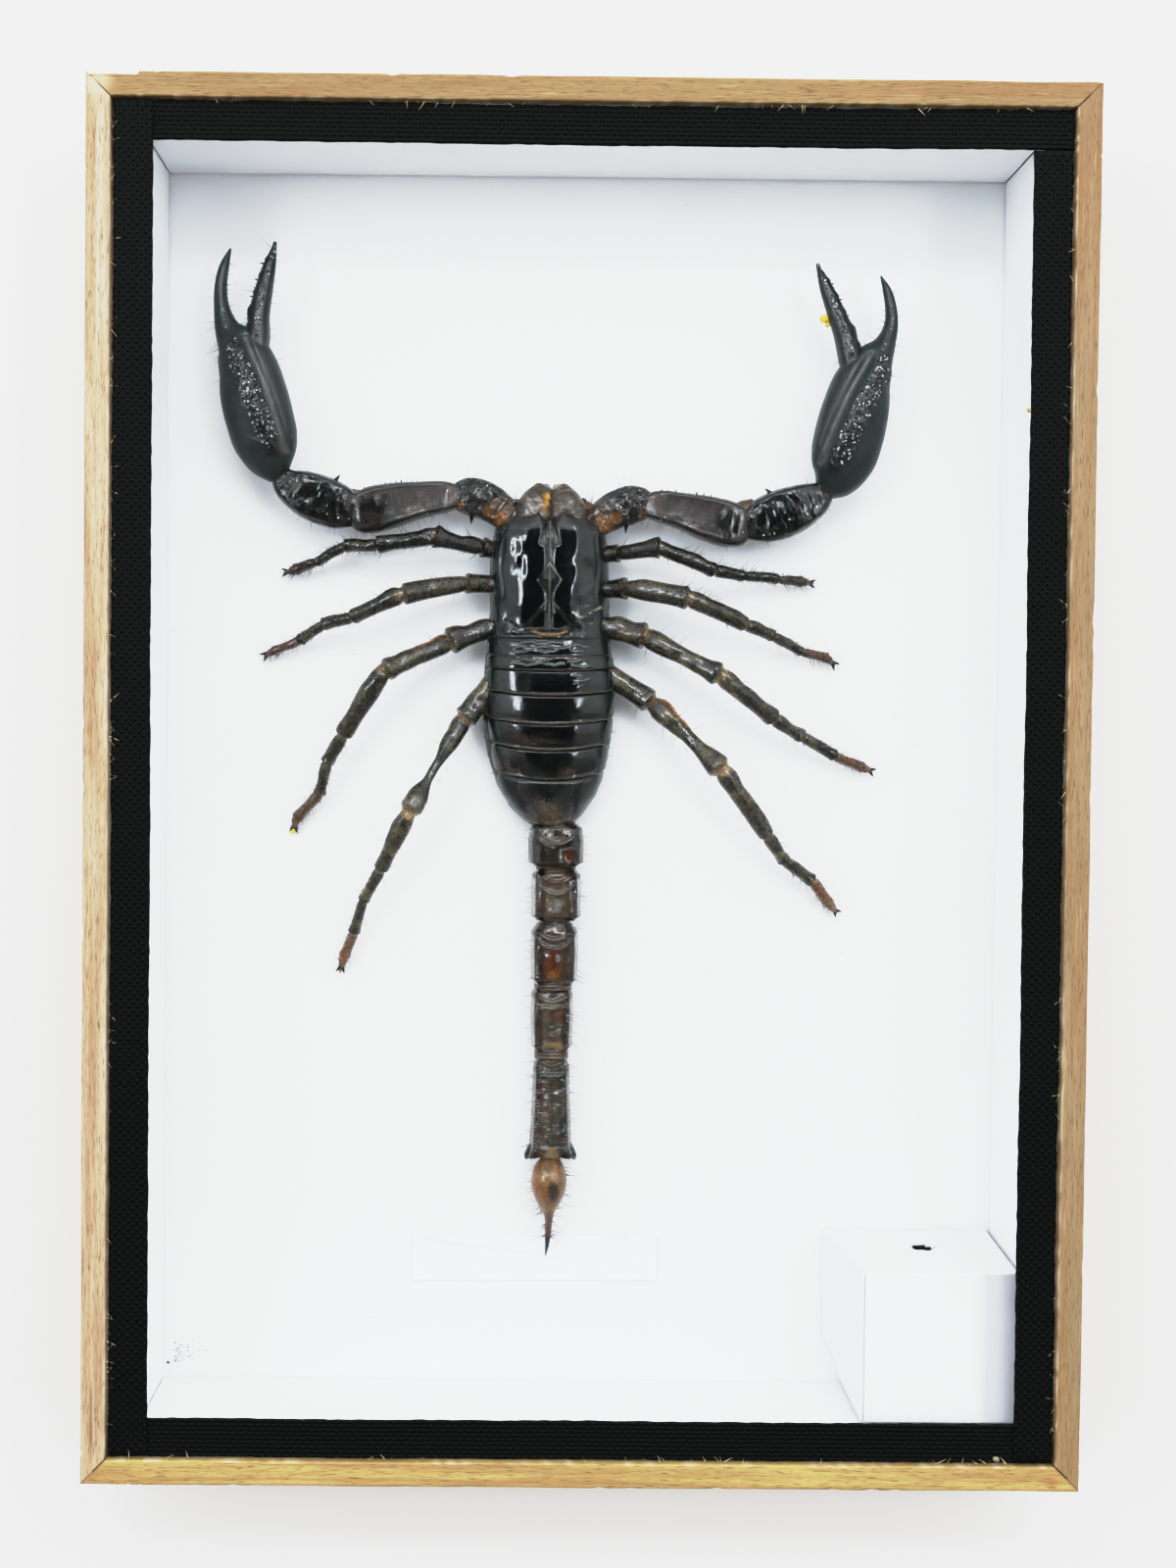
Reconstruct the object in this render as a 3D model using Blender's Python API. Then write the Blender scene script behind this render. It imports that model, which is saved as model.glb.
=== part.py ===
# Scorpion specimen in a shadow box, lying on its back, glass side up.
# Metres, +Z up, +Y towards the specimen's claws; the origin is the middle of the box's back face.

import math

import bpy
import bmesh
from mathutils import Matrix, Vector

MM = 0.001

# The box, in millimetres
BOX_WIDTH = 155.0
BOX_LENGTH = 217.0
BOX_DEPTH = 32.0
RAIL_THICKNESS = 3.9
LINING_THICKNESS = 4.2
GAP = 0.3

# The stack from the back face up
BOARD_TOP = 2.0
FLOOR_SHEET_THICKNESS = 0.8
FLOOR_BOTTOM = BOARD_TOP + GAP
FLOOR = FLOOR_BOTTOM + FLOOR_SHEET_THICKNESS
GLASS_BOTTOM = 29.0
GLASS_THICKNESS = 2.0
GLASS_TOP = GLASS_BOTTOM + GLASS_THICKNESS
TAPE_THICKNESS = 0.3
TAPE_WIDTH = 6.1
TAPE_BOTTOM = GLASS_TOP + GAP
TAPE_TOP = TAPE_BOTTOM + TAPE_THICKNESS

# What lies in the box beside the specimen
LABEL_SIZE = (40.8, 7.4)
LABEL_CENTRE = (-7.1, -79.7)
LABEL_THICKNESS = 0.2
CARD_BOX_SIZE = (25.0, 24.2, 24.4)
CARD_BOX_CENTRE = (56.2, -87.2)
CARD_WALL = 0.6
CARD_HOLE_DIAMETER = 4.0
CARD_HOLE_HEIGHT = 12.5

# The specimen's trunk: y, width, top and bottom height above the floor
TRUNK_MIDDLE_X = -5.2
CARAPACE = (
    (44.3, 14.6, 6.6, 3.0), (43.2, 17.0, 7.8, 1.6), (40.6, 18.4, 8.8, 0.9), (35.5, 19.0, 9.6, 0.6),
    (29.5, 19.0, 9.4, 0.5), (24.4, 19.2, 9.0, 0.4),
)
TERGITE_EDGES = (24.2, 20.6, 18.3, 14.4, 9.4, 5.1, 0.2, -6.4)
TERGITE_WIDTHS = (19.9, 20.6, 20.9, 21.4, 20.6, 19.0, 15.8, 8.4)
TERGITE_TOPS = (9.3, 9.9, 10.2, 10.4, 10.3, 9.8, 8.9, 7.6)
TERGITE_STEP = 0.45
TERGITE_OVERLAP = 0.25
CARAPACE_NOTCH = 1.6
CARAPACE_MIDDLE_X = -5.6
TRUNK_DRIFT = 0.9
TRUNK_UNDERSIDE = 0.4

# The tail: each segment's start y, end y, start width, end width and middle x
TAIL_SEGMENTS = (
    (-6.2, -13.3, 7.4, 9.0, -4.3), (-14.1, -21.9, 8.5, 8.2, -4.2), (-23.2, -32.5, 8.0, 7.6, -4.4),
    (-33.6, -42.8, 7.1, 6.6, -4.7), (-45.2, -61.5, 6.1, 7.3, -4.7),
)
TAIL_HEIGHT_RATIO = 0.93
TAIL_UNDERSIDE = 0.5
TAIL_NECK = 0.66
VESICLE = (
    (-61.7, 3.9, 3.9, 4.6), (-63.2, 5.0, 5.0, 4.7), (-65.6, 5.8, 5.8, 4.8), (-68.6, 4.6, 4.6, 4.7),
    (-70.8, 2.2, 2.3, 4.5), (-73.4, 1.3, 1.4, 4.1), (-76.4, 0.8, 0.8, 3.1), (-78.9, 0.2, 0.2, 1.9),
)
STING_X = -4.9

# The claws' arms: x, y, height above the floor, width, thickness
LEFT_ARM = {
    "palm": (
        (-49.9, 49.2, 7.4, 3.0, 3.0), (-50.9, 51.6, 7.8, 7.4, 5.4), (-51.8, 54.6, 8.2, 10.2, 7.0),
        (-52.9, 58.6, 8.6, 11.0, 7.8), (-53.9, 62.6, 8.8, 10.9, 7.8), (-54.8, 66.6, 8.8, 9.7, 7.0),
        (-56.3, 70.2, 8.7, 7.8, 5.4), (-58.2, 73.0, 8.5, 4.3, 3.8), (-59.2, 76.4, 8.3, 2.6, 2.9),
        (-59.4, 80.2, 8.1, 2.0, 2.3), (-58.8, 83.6, 8.0, 1.5, 1.7), (-57.9, 86.1, 7.9, 0.3, 0.3),
    ),
    "finger": (
        (-53.6, 67.6, 8.8, 3.4, 4.2), (-53.3, 71.4, 8.8, 3.9, 4.4), (-53.1, 75.4, 8.6, 3.4, 3.6),
        (-52.4, 79.6, 8.4, 2.9, 2.9), (-51.5, 83.6, 8.2, 2.0, 2.0), (-50.6, 87.2, 8.1, 0.3, 0.3),
    ),
    "patella": (
        (-50.2, 50.2, 7.4, 2.8, 2.6), (-48.4, 48.4, 7.3, 5.4, 4.6), (-45.6, 46.9, 7.2, 7.4, 5.8),
        (-42.0, 45.5, 7.0, 7.9, 6.0), (-39.4, 44.5, 6.8, 6.9, 5.4), (-36.8, 43.4, 6.6, 3.8, 3.4),
    ),
    "femur": (
        (-38.4, 43.6, 6.6, 4.0, 3.6), (-35.6, 44.2, 6.6, 7.3, 5.2), (-31.6, 45.2, 6.6, 7.2, 5.4),
        (-26.6, 46.2, 6.5, 5.8, 5.0), (-22.6, 46.7, 6.3, 4.9, 4.4), (-20.2, 46.7, 6.1, 3.4, 3.2),
    ),
    "coxa": (
        (-21.6, 46.8, 6.1, 3.4, 3.2), (-19.6, 46.8, 5.9, 6.0, 4.6), (-16.8, 46.2, 5.6, 6.6, 4.8),
        (-13.6, 44.3, 5.2, 5.6, 4.4), (-9.8, 41.6, 4.8, 4.4, 3.4),
    ),
}
RIGHT_ARM = {
    "palm": (
        (38.5, 47.8, 7.4, 3.0, 3.0), (40.0, 49.8, 7.8, 7.4, 5.4), (41.3, 52.8, 8.2, 10.3, 7.0),
        (42.4, 57.0, 8.6, 11.2, 7.8), (43.4, 61.4, 8.8, 10.8, 7.8), (44.4, 65.4, 8.8, 9.4, 7.0),
        (46.1, 68.8, 8.7, 7.0, 5.4), (48.0, 71.8, 8.5, 3.6, 3.6), (49.0, 74.9, 8.3, 2.3, 2.7),
        (49.0, 77.6, 8.1, 1.9, 2.1), (48.3, 80.6, 8.0, 1.4, 1.5), (47.3, 82.9, 7.9, 0.3, 0.3),
    ),
    "finger": (
        (43.4, 65.4, 8.8, 3.6, 4.2), (42.6, 69.0, 8.8, 4.1, 4.4), (41.4, 73.2, 8.6, 3.5, 3.6),
        (39.9, 77.2, 8.4, 2.9, 2.9), (38.2, 81.4, 8.2, 2.0, 2.0), (36.9, 84.7, 8.1, 0.3, 0.3),
    ),
    "patella": (
        (39.4, 48.8, 7.4, 2.8, 2.6), (37.6, 47.2, 7.3, 5.4, 4.6), (34.8, 45.6, 7.2, 7.4, 5.8),
        (31.0, 44.1, 7.0, 8.1, 6.0), (28.2, 43.1, 6.8, 7.1, 5.4), (25.2, 42.2, 6.6, 3.8, 3.4),
    ),
    "femur": (
        (26.8, 42.2, 6.6, 4.0, 3.6), (24.0, 42.5, 6.6, 7.2, 5.2), (20.2, 43.5, 6.6, 7.3, 5.4),
        (15.4, 44.8, 6.5, 5.9, 5.0), (11.4, 45.6, 6.3, 4.9, 4.4), (9.2, 45.7, 6.1, 3.4, 3.2),
    ),
    "coxa": (
        (10.6, 45.8, 6.1, 3.4, 3.2), (8.4, 45.8, 5.9, 6.0, 4.6), (5.6, 45.2, 5.6, 6.6, 4.8),
        (2.6, 43.4, 5.2, 5.6, 4.4), (-1.2, 41.0, 4.8, 4.4, 3.4),
    ),
}
ARM_SPURS = (
    ((-41.6, 47.6, 7.4), (-39.7, 49.9, 7.6), 1.7), ((31.2, 46.6, 7.4), (28.9, 48.7, 7.6), 1.7),
    ((-18.6, 44.6, 5.8), (-18.7, 42.2, 5.6), 1.2), ((6.8, 43.6, 5.8), (6.6, 41.2, 5.6), 1.2),
)
CHELICERAE = (
    ((-8.2, 41.5, 5.6, 4.4, 4.0), (-8.2, 44.6, 5.9, 5.1, 5.0), (-7.9, 46.4, 5.8, 4.7, 4.6),
     (-7.2, 47.8, 5.5, 3.3, 3.4), (-6.5, 48.9, 5.0, 1.2, 1.4)),
    ((-2.9, 41.5, 5.6, 4.4, 4.0), (-2.9, 44.6, 5.9, 5.1, 5.0), (-3.2, 46.4, 5.8, 4.7, 4.6),
     (-3.9, 47.7, 5.5, 3.3, 3.4), (-4.6, 48.8, 5.0, 1.2, 1.4)),
)

# The legs, from inside the trunk out to the claws: x, y, height above the floor, width
LEGS = {
    "left_1": (
        (-12.4, 37.6, 4.2, 2.8), (-17.0, 38.6, 5.6, 2.9), (-24.8, 40.0, 8.6, 3.2), (-34.1, 38.6, 7.6, 2.5),
        (-39.3, 38.6, 6.0, 2.0), (-44.1, 36.0, 4.2, 1.6), (-47.7, 34.7, 2.6, 1.4), (-49.7, 34.5, 1.6, 0.5),
    ),
    "left_2": (
        (-12.6, 32.6, 4.2, 3.2), (-19.6, 32.8, 6.4, 3.4), (-29.8, 30.6, 9.8, 3.5), (-38.0, 27.0, 7.4, 2.6),
        (-42.8, 25.9, 5.4, 2.2), (-46.8, 23.2, 3.6, 1.8), (-51.3, 21.6, 2.0, 1.5), (-52.9, 20.6, 1.4, 0.6),
    ),
    "left_3": (
        (-12.8, 26.6, 4.2, 3.4), (-22.4, 23.0, 6.6, 3.6), (-32.6, 18.3, 9.8, 3.9), (-39.4, 7.5, 7.2, 2.7),
        (-42.0, 3.1, 5.4, 2.1), (-43.3, -2.0, 3.8, 1.9), (-47.3, -6.2, 2.0, 1.5), (-47.7, -8.0, 1.4, 0.6),
    ),
    "left_4": (
        (-13.2, 18.2, 4.4, 4.0), (-19.7, 10.4, 6.0, 3.6), (-28.4, -4.8, 10.2, 3.7), (-33.0, -14.2, 7.2, 2.4),
        (-35.9, -19.4, 5.4, 2.0), (-37.5, -24.9, 3.6, 1.9), (-39.2, -29.0, 2.2, 1.5),
        (-39.9, -31.8, 1.4, 0.6),
    ),
    "right_1": (
        (1.2, 37.4, 4.2, 2.8), (5.6, 38.0, 5.6, 2.9), (12.2, 38.6, 8.6, 3.0), (21.2, 35.1, 7.4, 2.4),
        (25.9, 34.5, 5.8, 2.0), (31.9, 34.1, 4.2, 1.7), (35.9, 33.7, 2.6, 1.4), (38.0, 33.5, 1.6, 0.5),
    ),
    "right_2": (
        (1.4, 32.0, 4.2, 3.2), (6.9, 32.2, 6.4, 3.4), (16.9, 30.4, 9.8, 3.5), (26.3, 26.4, 7.4, 2.6),
        (30.9, 24.8, 5.4, 2.1), (36.0, 22.2, 3.6, 1.8), (40.4, 21.2, 2.0, 1.5), (41.7, 20.1, 1.4, 0.6),
    ),
    "right_3": (
        (1.6, 26.6, 4.2, 3.4), (10.1, 24.2, 6.6, 3.6), (22.1, 17.9, 9.8, 3.6), (31.2, 10.9, 7.2, 2.6),
        (36.0, 8.2, 5.4, 2.2), (41.7, 5.0, 3.8, 1.9), (46.6, 3.2, 2.0, 1.5), (48.2, 2.5, 1.4, 0.6),
    ),
    "right_4": (
        (2.0, 19.4, 4.4, 4.0), (11.2, 13.6, 6.0, 3.6), (22.5, 2.5, 10.2, 3.5), (30.3, -8.1, 7.2, 2.7),
        (33.3, -12.2, 5.4, 2.2), (38.2, -15.7, 3.6, 1.9), (41.3, -19.7, 2.2, 1.5), (42.7, -21.1, 1.4, 0.6),
    ),
}
LEG_DEPTH_RATIO = 1.2
LEG_JOINT_PINCH = 0.68
LEG_SIDES = 7
CLAW_SPREAD_DEGREES = 24.0
CLAW_LENGTH = 2.0
CLAW_WIDTH = 0.75
EYE_MOUND = (-5.6, 33.0, 9.2, 3.4, 4.6, 2.2)


def clear_scene():
    for item in list(bpy.data.objects):
        bpy.data.objects.remove(item, do_unlink=True)


def material(name, colour, roughness, metallic=0.0, transmission=0.0):
    mat = bpy.data.materials.new(name)
    mat.use_nodes = True
    shader = mat.node_tree.nodes["Principled BSDF"]
    shader.inputs["Base Color"].default_value = (*colour, 1.0)
    shader.inputs["Roughness"].default_value = roughness
    shader.inputs["Metallic"].default_value = metallic
    shader.inputs["Transmission Weight"].default_value = transmission
    return mat


def add_object(name, bm, mat, collection=None):
    bmesh.ops.recalc_face_normals(bm, faces=bm.faces)
    mesh = bpy.data.meshes.new(name)
    bm.to_mesh(mesh)
    bm.free()
    mesh.materials.append(mat)
    item = bpy.data.objects.new(name, mesh)
    (collection or bpy.context.scene.collection).objects.link(item)
    return item


def add_block(name, centre, size, mat):
    # A plain rectangular block, both arguments in millimetres
    bm = bmesh.new()
    bmesh.ops.create_cube(bm, size=1.0)
    bmesh.ops.scale(bm, vec=Vector(size) * MM, verts=bm.verts)
    bmesh.ops.translate(bm, vec=Vector(centre) * MM, verts=bm.verts)
    return add_object(name, bm, mat)


def add_slab(name, x_range, y_range, z_range, mat):
    ranges = (x_range, y_range, z_range)
    centre = [(low + high) / 2 for low, high in ranges]
    size = [high - low for low, high in ranges]
    return add_block(name, centre, size, mat)


def add_mitred_strip(name, half_length, half_across, thickness, z_range, turn, mat):
    # A strip along the frame's +Y side, its ends cut at 45 degrees, turned about Z to its own side
    shy = GAP / 2
    outer, inner = half_across, half_across - thickness
    outline = (
        (-half_length + shy, outer), (half_length - shy, outer),
        (half_length - thickness - shy, inner), (-half_length + thickness + shy, inner),
    )
    bm = bmesh.new()
    base = [bm.verts.new((x * MM, y * MM, z_range[0] * MM)) for x, y in outline]
    face = bm.faces.new(base)
    lifted = bmesh.ops.extrude_face_region(bm, geom=[face])["geom"]
    rise = Vector((0, 0, (z_range[1] - z_range[0]) * MM))
    bmesh.ops.translate(bm, vec=rise, verts=[v for v in lifted if isinstance(v, bmesh.types.BMVert)])
    bmesh.ops.rotate(bm, cent=(0, 0, 0), matrix=Matrix.Rotation(math.radians(turn), 3, "Z"), verts=bm.verts)
    return add_object(name, bm, mat)


def add_four_strips(kind, inset, thickness, z_range, mat):
    half_x = BOX_WIDTH / 2 - inset
    half_y = BOX_LENGTH / 2 - inset
    add_mitred_strip("top_" + kind, half_x, half_y, thickness, z_range, 0, mat)
    add_mitred_strip("left_" + kind, half_y, half_x, thickness, z_range, 90, mat)
    add_mitred_strip("bottom_" + kind, half_x, half_y, thickness, z_range, 180, mat)
    add_mitred_strip("right_" + kind, half_y, half_x, thickness, z_range, 270, mat)


def add_frame():
    wood = material("wood", (0.62, 0.42, 0.27), 0.6)
    hardboard = material("hardboard", (0.35, 0.22, 0.13), 0.7)
    white_card = material("white_card", (0.86, 0.86, 0.87), 0.6)
    glass = material("glass", (1.0, 1.0, 1.0), 0.0, transmission=1.0)
    add_four_strips("rail", 0.0, RAIL_THICKNESS, (0.0, BOX_DEPTH), wood)

    inside_x = BOX_WIDTH / 2 - RAIL_THICKNESS - GAP
    inside_y = BOX_LENGTH / 2 - RAIL_THICKNESS - GAP
    span_x, span_y = (-inside_x, inside_x), (-inside_y, inside_y)
    add_slab("back_board", span_x, span_y, (0.0, BOARD_TOP), hardboard)
    add_slab("floor_sheet", span_x, span_y, (FLOOR_BOTTOM, FLOOR), white_card)
    lining_inset = RAIL_THICKNESS + GAP
    add_four_strips("lining", lining_inset, LINING_THICKNESS, (FLOOR + GAP, GLASS_BOTTOM - GAP), white_card)
    add_slab("glass_pane", span_x, span_y, (GLASS_BOTTOM, GLASS_TOP), glass)


def add_tapes():
    # The left tape runs the full length, the top one reaches the right edge, the others butt to them
    cloth = material("tape_cloth", (0.015, 0.015, 0.017), 0.75)
    outer_x = BOX_WIDTH / 2 - RAIL_THICKNESS - GAP
    outer_y = BOX_LENGTH / 2 - RAIL_THICKNESS - GAP
    inner_x, inner_y = outer_x - TAPE_WIDTH, outer_y - TAPE_WIDTH
    layer = (TAPE_BOTTOM, TAPE_TOP)
    add_slab("left_tape", (-outer_x, -inner_x), (-outer_y, outer_y), layer, cloth)
    add_slab("top_tape", (-inner_x + GAP, outer_x), (inner_y, outer_y), layer, cloth)
    add_slab("right_tape", (inner_x, outer_x), (-outer_y, inner_y - GAP), layer, cloth)
    add_slab("bottom_tape", (-inner_x + GAP, inner_x - GAP), (-outer_y, -inner_y), layer, cloth)


def add_label():
    paper = material("label_paper", (0.82, 0.84, 0.88), 0.7)
    bottom = FLOOR + GAP
    centre = (*LABEL_CENTRE, bottom + LABEL_THICKNESS / 2)
    add_block("label", centre, (*LABEL_SIZE, LABEL_THICKNESS), paper)


def hide_as_cutter(item):
    item.hide_render = True
    item.display_type = "WIRE"


def cut(item, cutter):
    hide_as_cutter(cutter)
    step = item.modifiers.new(cutter.name, "BOOLEAN")
    step.operation = "DIFFERENCE"
    step.solver = "EXACT"
    step.object = cutter


def add_card_box():
    # A folded card cube, hollow, with a round hole in the side that faces the specimen
    card = material("box_card", (0.88, 0.87, 0.85), 0.65)
    x, y = CARD_BOX_CENTRE
    bottom = FLOOR + GAP
    centre = (x, y, bottom + CARD_BOX_SIZE[2] / 2)
    shell = add_block("card_box", centre, CARD_BOX_SIZE, card)
    hollow_size = [side - 2 * CARD_WALL for side in CARD_BOX_SIZE]
    cut(shell, add_block("card_hollow", centre, hollow_size, card))

    bm = bmesh.new()
    bmesh.ops.create_cone(
        bm, cap_ends=True, segments=16, depth=4 * CARD_WALL * MM,
        radius1=CARD_HOLE_DIAMETER / 2 * MM, radius2=CARD_HOLE_DIAMETER / 2 * MM,
    )
    bmesh.ops.rotate(bm, cent=(0, 0, 0), matrix=Matrix.Rotation(math.radians(90), 3, "X"), verts=bm.verts)
    face_y = y + CARD_BOX_SIZE[1] / 2
    bmesh.ops.translate(bm, vec=Vector((x, face_y, bottom + CARD_HOLE_HEIGHT)) * MM, verts=bm.verts)
    cut(shell, add_object("card_hole", bm, card))


def round_section(sides, start=0.0):
    turns = [start + math.tau * k / sides for k in range(sides)]
    return [(math.cos(turn), math.sin(turn)) for turn in turns]


def trunk_section():
    # Across the trunk: an arched back, a rounded side fold and a flat belly
    back = [(math.cos(math.radians(a)), math.sin(math.radians(a)) ** 0.8) for a in range(15, 166, 15)]
    return [(1.0, 0.1)] + back + [(-1.0, 0.1), (-0.9, -0.7), (-0.55, -1.0), (0.55, -1.0), (0.9, -0.7)]


def keeled_section():
    # Across the tail: two keels along the back with a groove between, and keels down each side
    side = [(0.52, 1.0), (0.88, 0.62), (1.0, 0.05), (0.86, -0.62), (0.42, -1.0)]
    return [(0.0, 0.8)] + [(-u, v) for u, v in side] + side[::-1]


def bridge_rings(bm, rings):
    for first, second in zip(rings, rings[1:]):
        count = len(first)
        for k in range(count):
            bm.faces.new((first[k], first[(k + 1) % count], second[(k + 1) % count], second[k]))
    bm.faces.new(rings[0][::-1])
    bm.faces.new(rings[-1])


def lofted(path, section):
    # A closed tube through path points of (x, y, height, width, thickness), square to the path
    points = [Vector(p[:3]) for p in path]
    bm = bmesh.new()
    rings = []
    for k, (centre, entry) in enumerate(zip(points, path)):
        ahead = points[min(k + 1, len(points) - 1)]
        behind = points[max(k - 1, 0)]
        along = (ahead - behind).normalized()
        across = along.cross(Vector((0, 0, 1))).normalized()
        upward = across.cross(along).normalized()
        ring = []
        for u, v in section:
            offset = across * (u * entry[3] / 2) + upward * (v * entry[4] / 2)
            place = centre + offset + Vector((0, 0, FLOOR))
            ring.append(bm.verts.new(place * MM))
        rings.append(ring)
    bridge_rings(bm, rings)
    return bm


def leg_path(joints):
    # Each joint is pinched, and each segment swells between its joints
    path = []
    for k, (near, far) in enumerate(zip(joints, joints[1:])):
        pinch = LEG_JOINT_PINCH if k else 1.0
        path.append((*near[:3], near[3] * pinch, near[3] * pinch * LEG_DEPTH_RATIO))
        for share in (0.15, 0.5, 0.88):
            blend = [a + (b - a) * share for a, b in zip(near, far)]
            path.append((*blend, blend[3] * LEG_DEPTH_RATIO))
    return path


def claw_paths(joints):
    # Two small hooks that part from the foot's end and bend down at their tips
    foot, tip = Vector(joints[-2][:3]), Vector(joints[-1][:3])
    start = foot.lerp(tip, 0.45)
    heading = (tip - foot).normalized()
    for side in (-1, 1):
        along = Matrix.Rotation(math.radians(side * CLAW_SPREAD_DEGREES), 3, "Z") @ heading
        middle = start + along * CLAW_LENGTH * 0.6
        end = start + along * CLAW_LENGTH
        end.z = max(middle.z - 0.5, GAP + 0.2)
        yield (
            (*(start - along * 0.3), CLAW_WIDTH, CLAW_WIDTH), (*middle, CLAW_WIDTH * 0.7, CLAW_WIDTH * 0.7),
            (*end, 0.15, 0.15),
        )


def add_eye_mound(mat, limbs):
    x, y, height, width, length, rise = EYE_MOUND
    bm = bmesh.new()
    bmesh.ops.create_uvsphere(bm, u_segments=10, v_segments=6, radius=0.5)
    bmesh.ops.scale(bm, vec=Vector((width, length, rise)) * MM, verts=bm.verts)
    bmesh.ops.translate(bm, vec=Vector((x, y, FLOOR + height)) * MM, verts=bm.verts)
    add_object("eye_mound", bm, mat, limbs)


def carapace_rings(bm):
    # The head shield: rings along the trunk, the first dented in the middle by the front notch
    section = trunk_section()
    rings = []
    for k, (y, width, top, bottom) in enumerate(CARAPACE):
        middle, half = (top + bottom) / 2, (top - bottom) / 2
        ring = []
        for u, v in section:
            dent = CARAPACE_NOTCH * max(0.0, 1 - abs(u) * 2) if k == 0 else 0.0
            place = Vector((CARAPACE_MIDDLE_X + u * width / 2, y - dent, FLOOR + middle + v * half))
            ring.append(bm.verts.new(place * MM))
        rings.append(ring)
    return rings


def tergite_rings(bm):
    # Seven plates, each rising a little towards its rear edge and stepping down to the next
    section = trunk_section()
    edges = list(zip(TERGITE_EDGES, TERGITE_WIDTHS, TERGITE_TOPS))
    rings = []
    for front, rear in zip(edges, edges[1:]):
        for edge, step in ((front, -TERGITE_STEP), (rear, 0.0)):
            inward = TERGITE_OVERLAP if step else 0.0
            y, width, top = edge[0] - inward, edge[1] + 2 * step, edge[2] + step
            middle, half = (top + TRUNK_UNDERSIDE) / 2, (top - TRUNK_UNDERSIDE) / 2
            drift = TRUNK_DRIFT * (TERGITE_EDGES[0] - y) / (TERGITE_EDGES[0] - TERGITE_EDGES[-1])
            ring = []
            for u, v in section:
                place = Vector((TRUNK_MIDDLE_X + drift + u * width / 2, y, FLOOR + middle + v * half))
                ring.append(bm.verts.new(place * MM))
            rings.append(ring)
    return rings


def add_trunk(mat):
    bm = bmesh.new()
    bridge_rings(bm, carapace_rings(bm) + tergite_rings(bm))
    return add_object("scorpion", bm, mat)


def tail_path():
    # Necks join the segments; each swells just behind its neck and flares at its rear
    path = []
    for start, end, start_width, end_width, x in TAIL_SEGMENTS:
        length = start - end
        stations = (
            (start + 0.35, start_width * TAIL_NECK), (start - 0.03 * length, start_width * 0.93),
            (start - 0.2 * length, start_width), (start - 0.85 * length, end_width * 0.97),
            (end + 0.02 * length, end_width), (end - 0.35, end_width * TAIL_NECK),
        )
        for y, width in stations:
            height = width * TAIL_HEIGHT_RATIO
            widest = max(start_width, end_width) * TAIL_HEIGHT_RATIO
            path.append((x, y, TAIL_UNDERSIDE + widest / 2, width, height))
    first_y = path[0][1] + 4.0
    return [(path[0][0], first_y, *path[0][2:])] + path


def add_limbs(mat, limbs):
    add_object("tail", lofted(tail_path(), keeled_section()), mat, limbs)
    vesicle = [(STING_X, y, height, width, depth) for y, width, depth, height in VESICLE]
    add_object("sting", lofted([(STING_X, -60.4, 4.4, 3.0, 3.0)] + vesicle, round_section(8)), mat, limbs)
    for side, arm in (("left", LEFT_ARM), ("right", RIGHT_ARM)):
        for name, path in arm.items():
            sides = 12 if name == "palm" else 9
            add_object(side + "_" + name, lofted(path, round_section(sides)), mat, limbs)
    for name, joints in LEGS.items():
        add_object(name + "_leg", lofted(leg_path(joints), round_section(LEG_SIDES, 0.5)), mat, limbs)
        for k, path in enumerate(claw_paths(joints)):
            add_object("%s_claw_%d" % (name, k), lofted(path, round_section(4, 0.4)), mat, limbs)
    add_eye_mound(mat, limbs)
    for k, path in enumerate(CHELICERAE):
        add_object("chelicera_%d" % k, lofted(path, round_section(8, 0.2)), mat, limbs)
    for k, (root, tip, width) in enumerate(ARM_SPURS):
        path = ((*root, width, width), (*tip, 0.3, 0.3))
        add_object("spur_%d" % k, lofted(path, round_section(5)), mat, limbs)


def add_scorpion():
    # One grown thing: the trunk with its limbs joined into a single solid
    shell = material("scorpion_shell", (0.035, 0.032, 0.026), 0.35)
    limbs = bpy.data.collections.new("scorpion_limbs")
    bpy.context.scene.collection.children.link(limbs)
    trunk = add_trunk(shell)
    add_limbs(shell, limbs)
    for limb in limbs.objects:
        hide_as_cutter(limb)
    join = trunk.modifiers.new("join_limbs", "BOOLEAN")
    join.operation = "UNION"
    join.solver = "EXACT"
    join.operand_type = "COLLECTION"
    join.collection = limbs


clear_scene()
add_frame()
add_tapes()
add_label()
add_card_box()
add_scorpion()
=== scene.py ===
# Scorpion specimen in a shadow box: the looks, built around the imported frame.
import math
import random

import bpy
import bmesh
import numpy as np
from mathutils import Matrix, Vector
from mathutils.bvhtree import BVHTree


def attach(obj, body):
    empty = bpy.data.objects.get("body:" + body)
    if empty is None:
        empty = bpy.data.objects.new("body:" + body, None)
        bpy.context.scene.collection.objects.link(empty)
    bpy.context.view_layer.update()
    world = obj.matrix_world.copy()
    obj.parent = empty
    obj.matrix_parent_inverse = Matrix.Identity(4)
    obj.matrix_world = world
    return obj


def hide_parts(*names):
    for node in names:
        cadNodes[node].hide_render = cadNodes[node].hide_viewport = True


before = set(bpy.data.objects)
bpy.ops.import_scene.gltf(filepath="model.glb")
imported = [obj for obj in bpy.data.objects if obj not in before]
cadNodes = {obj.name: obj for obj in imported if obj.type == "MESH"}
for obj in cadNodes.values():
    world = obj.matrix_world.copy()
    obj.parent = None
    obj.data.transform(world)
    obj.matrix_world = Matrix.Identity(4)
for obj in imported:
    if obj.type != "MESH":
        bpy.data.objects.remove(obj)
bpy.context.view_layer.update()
mm = 0.001
floorTop = 3.1  # the white sheet's upper face, in millimetres


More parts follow.
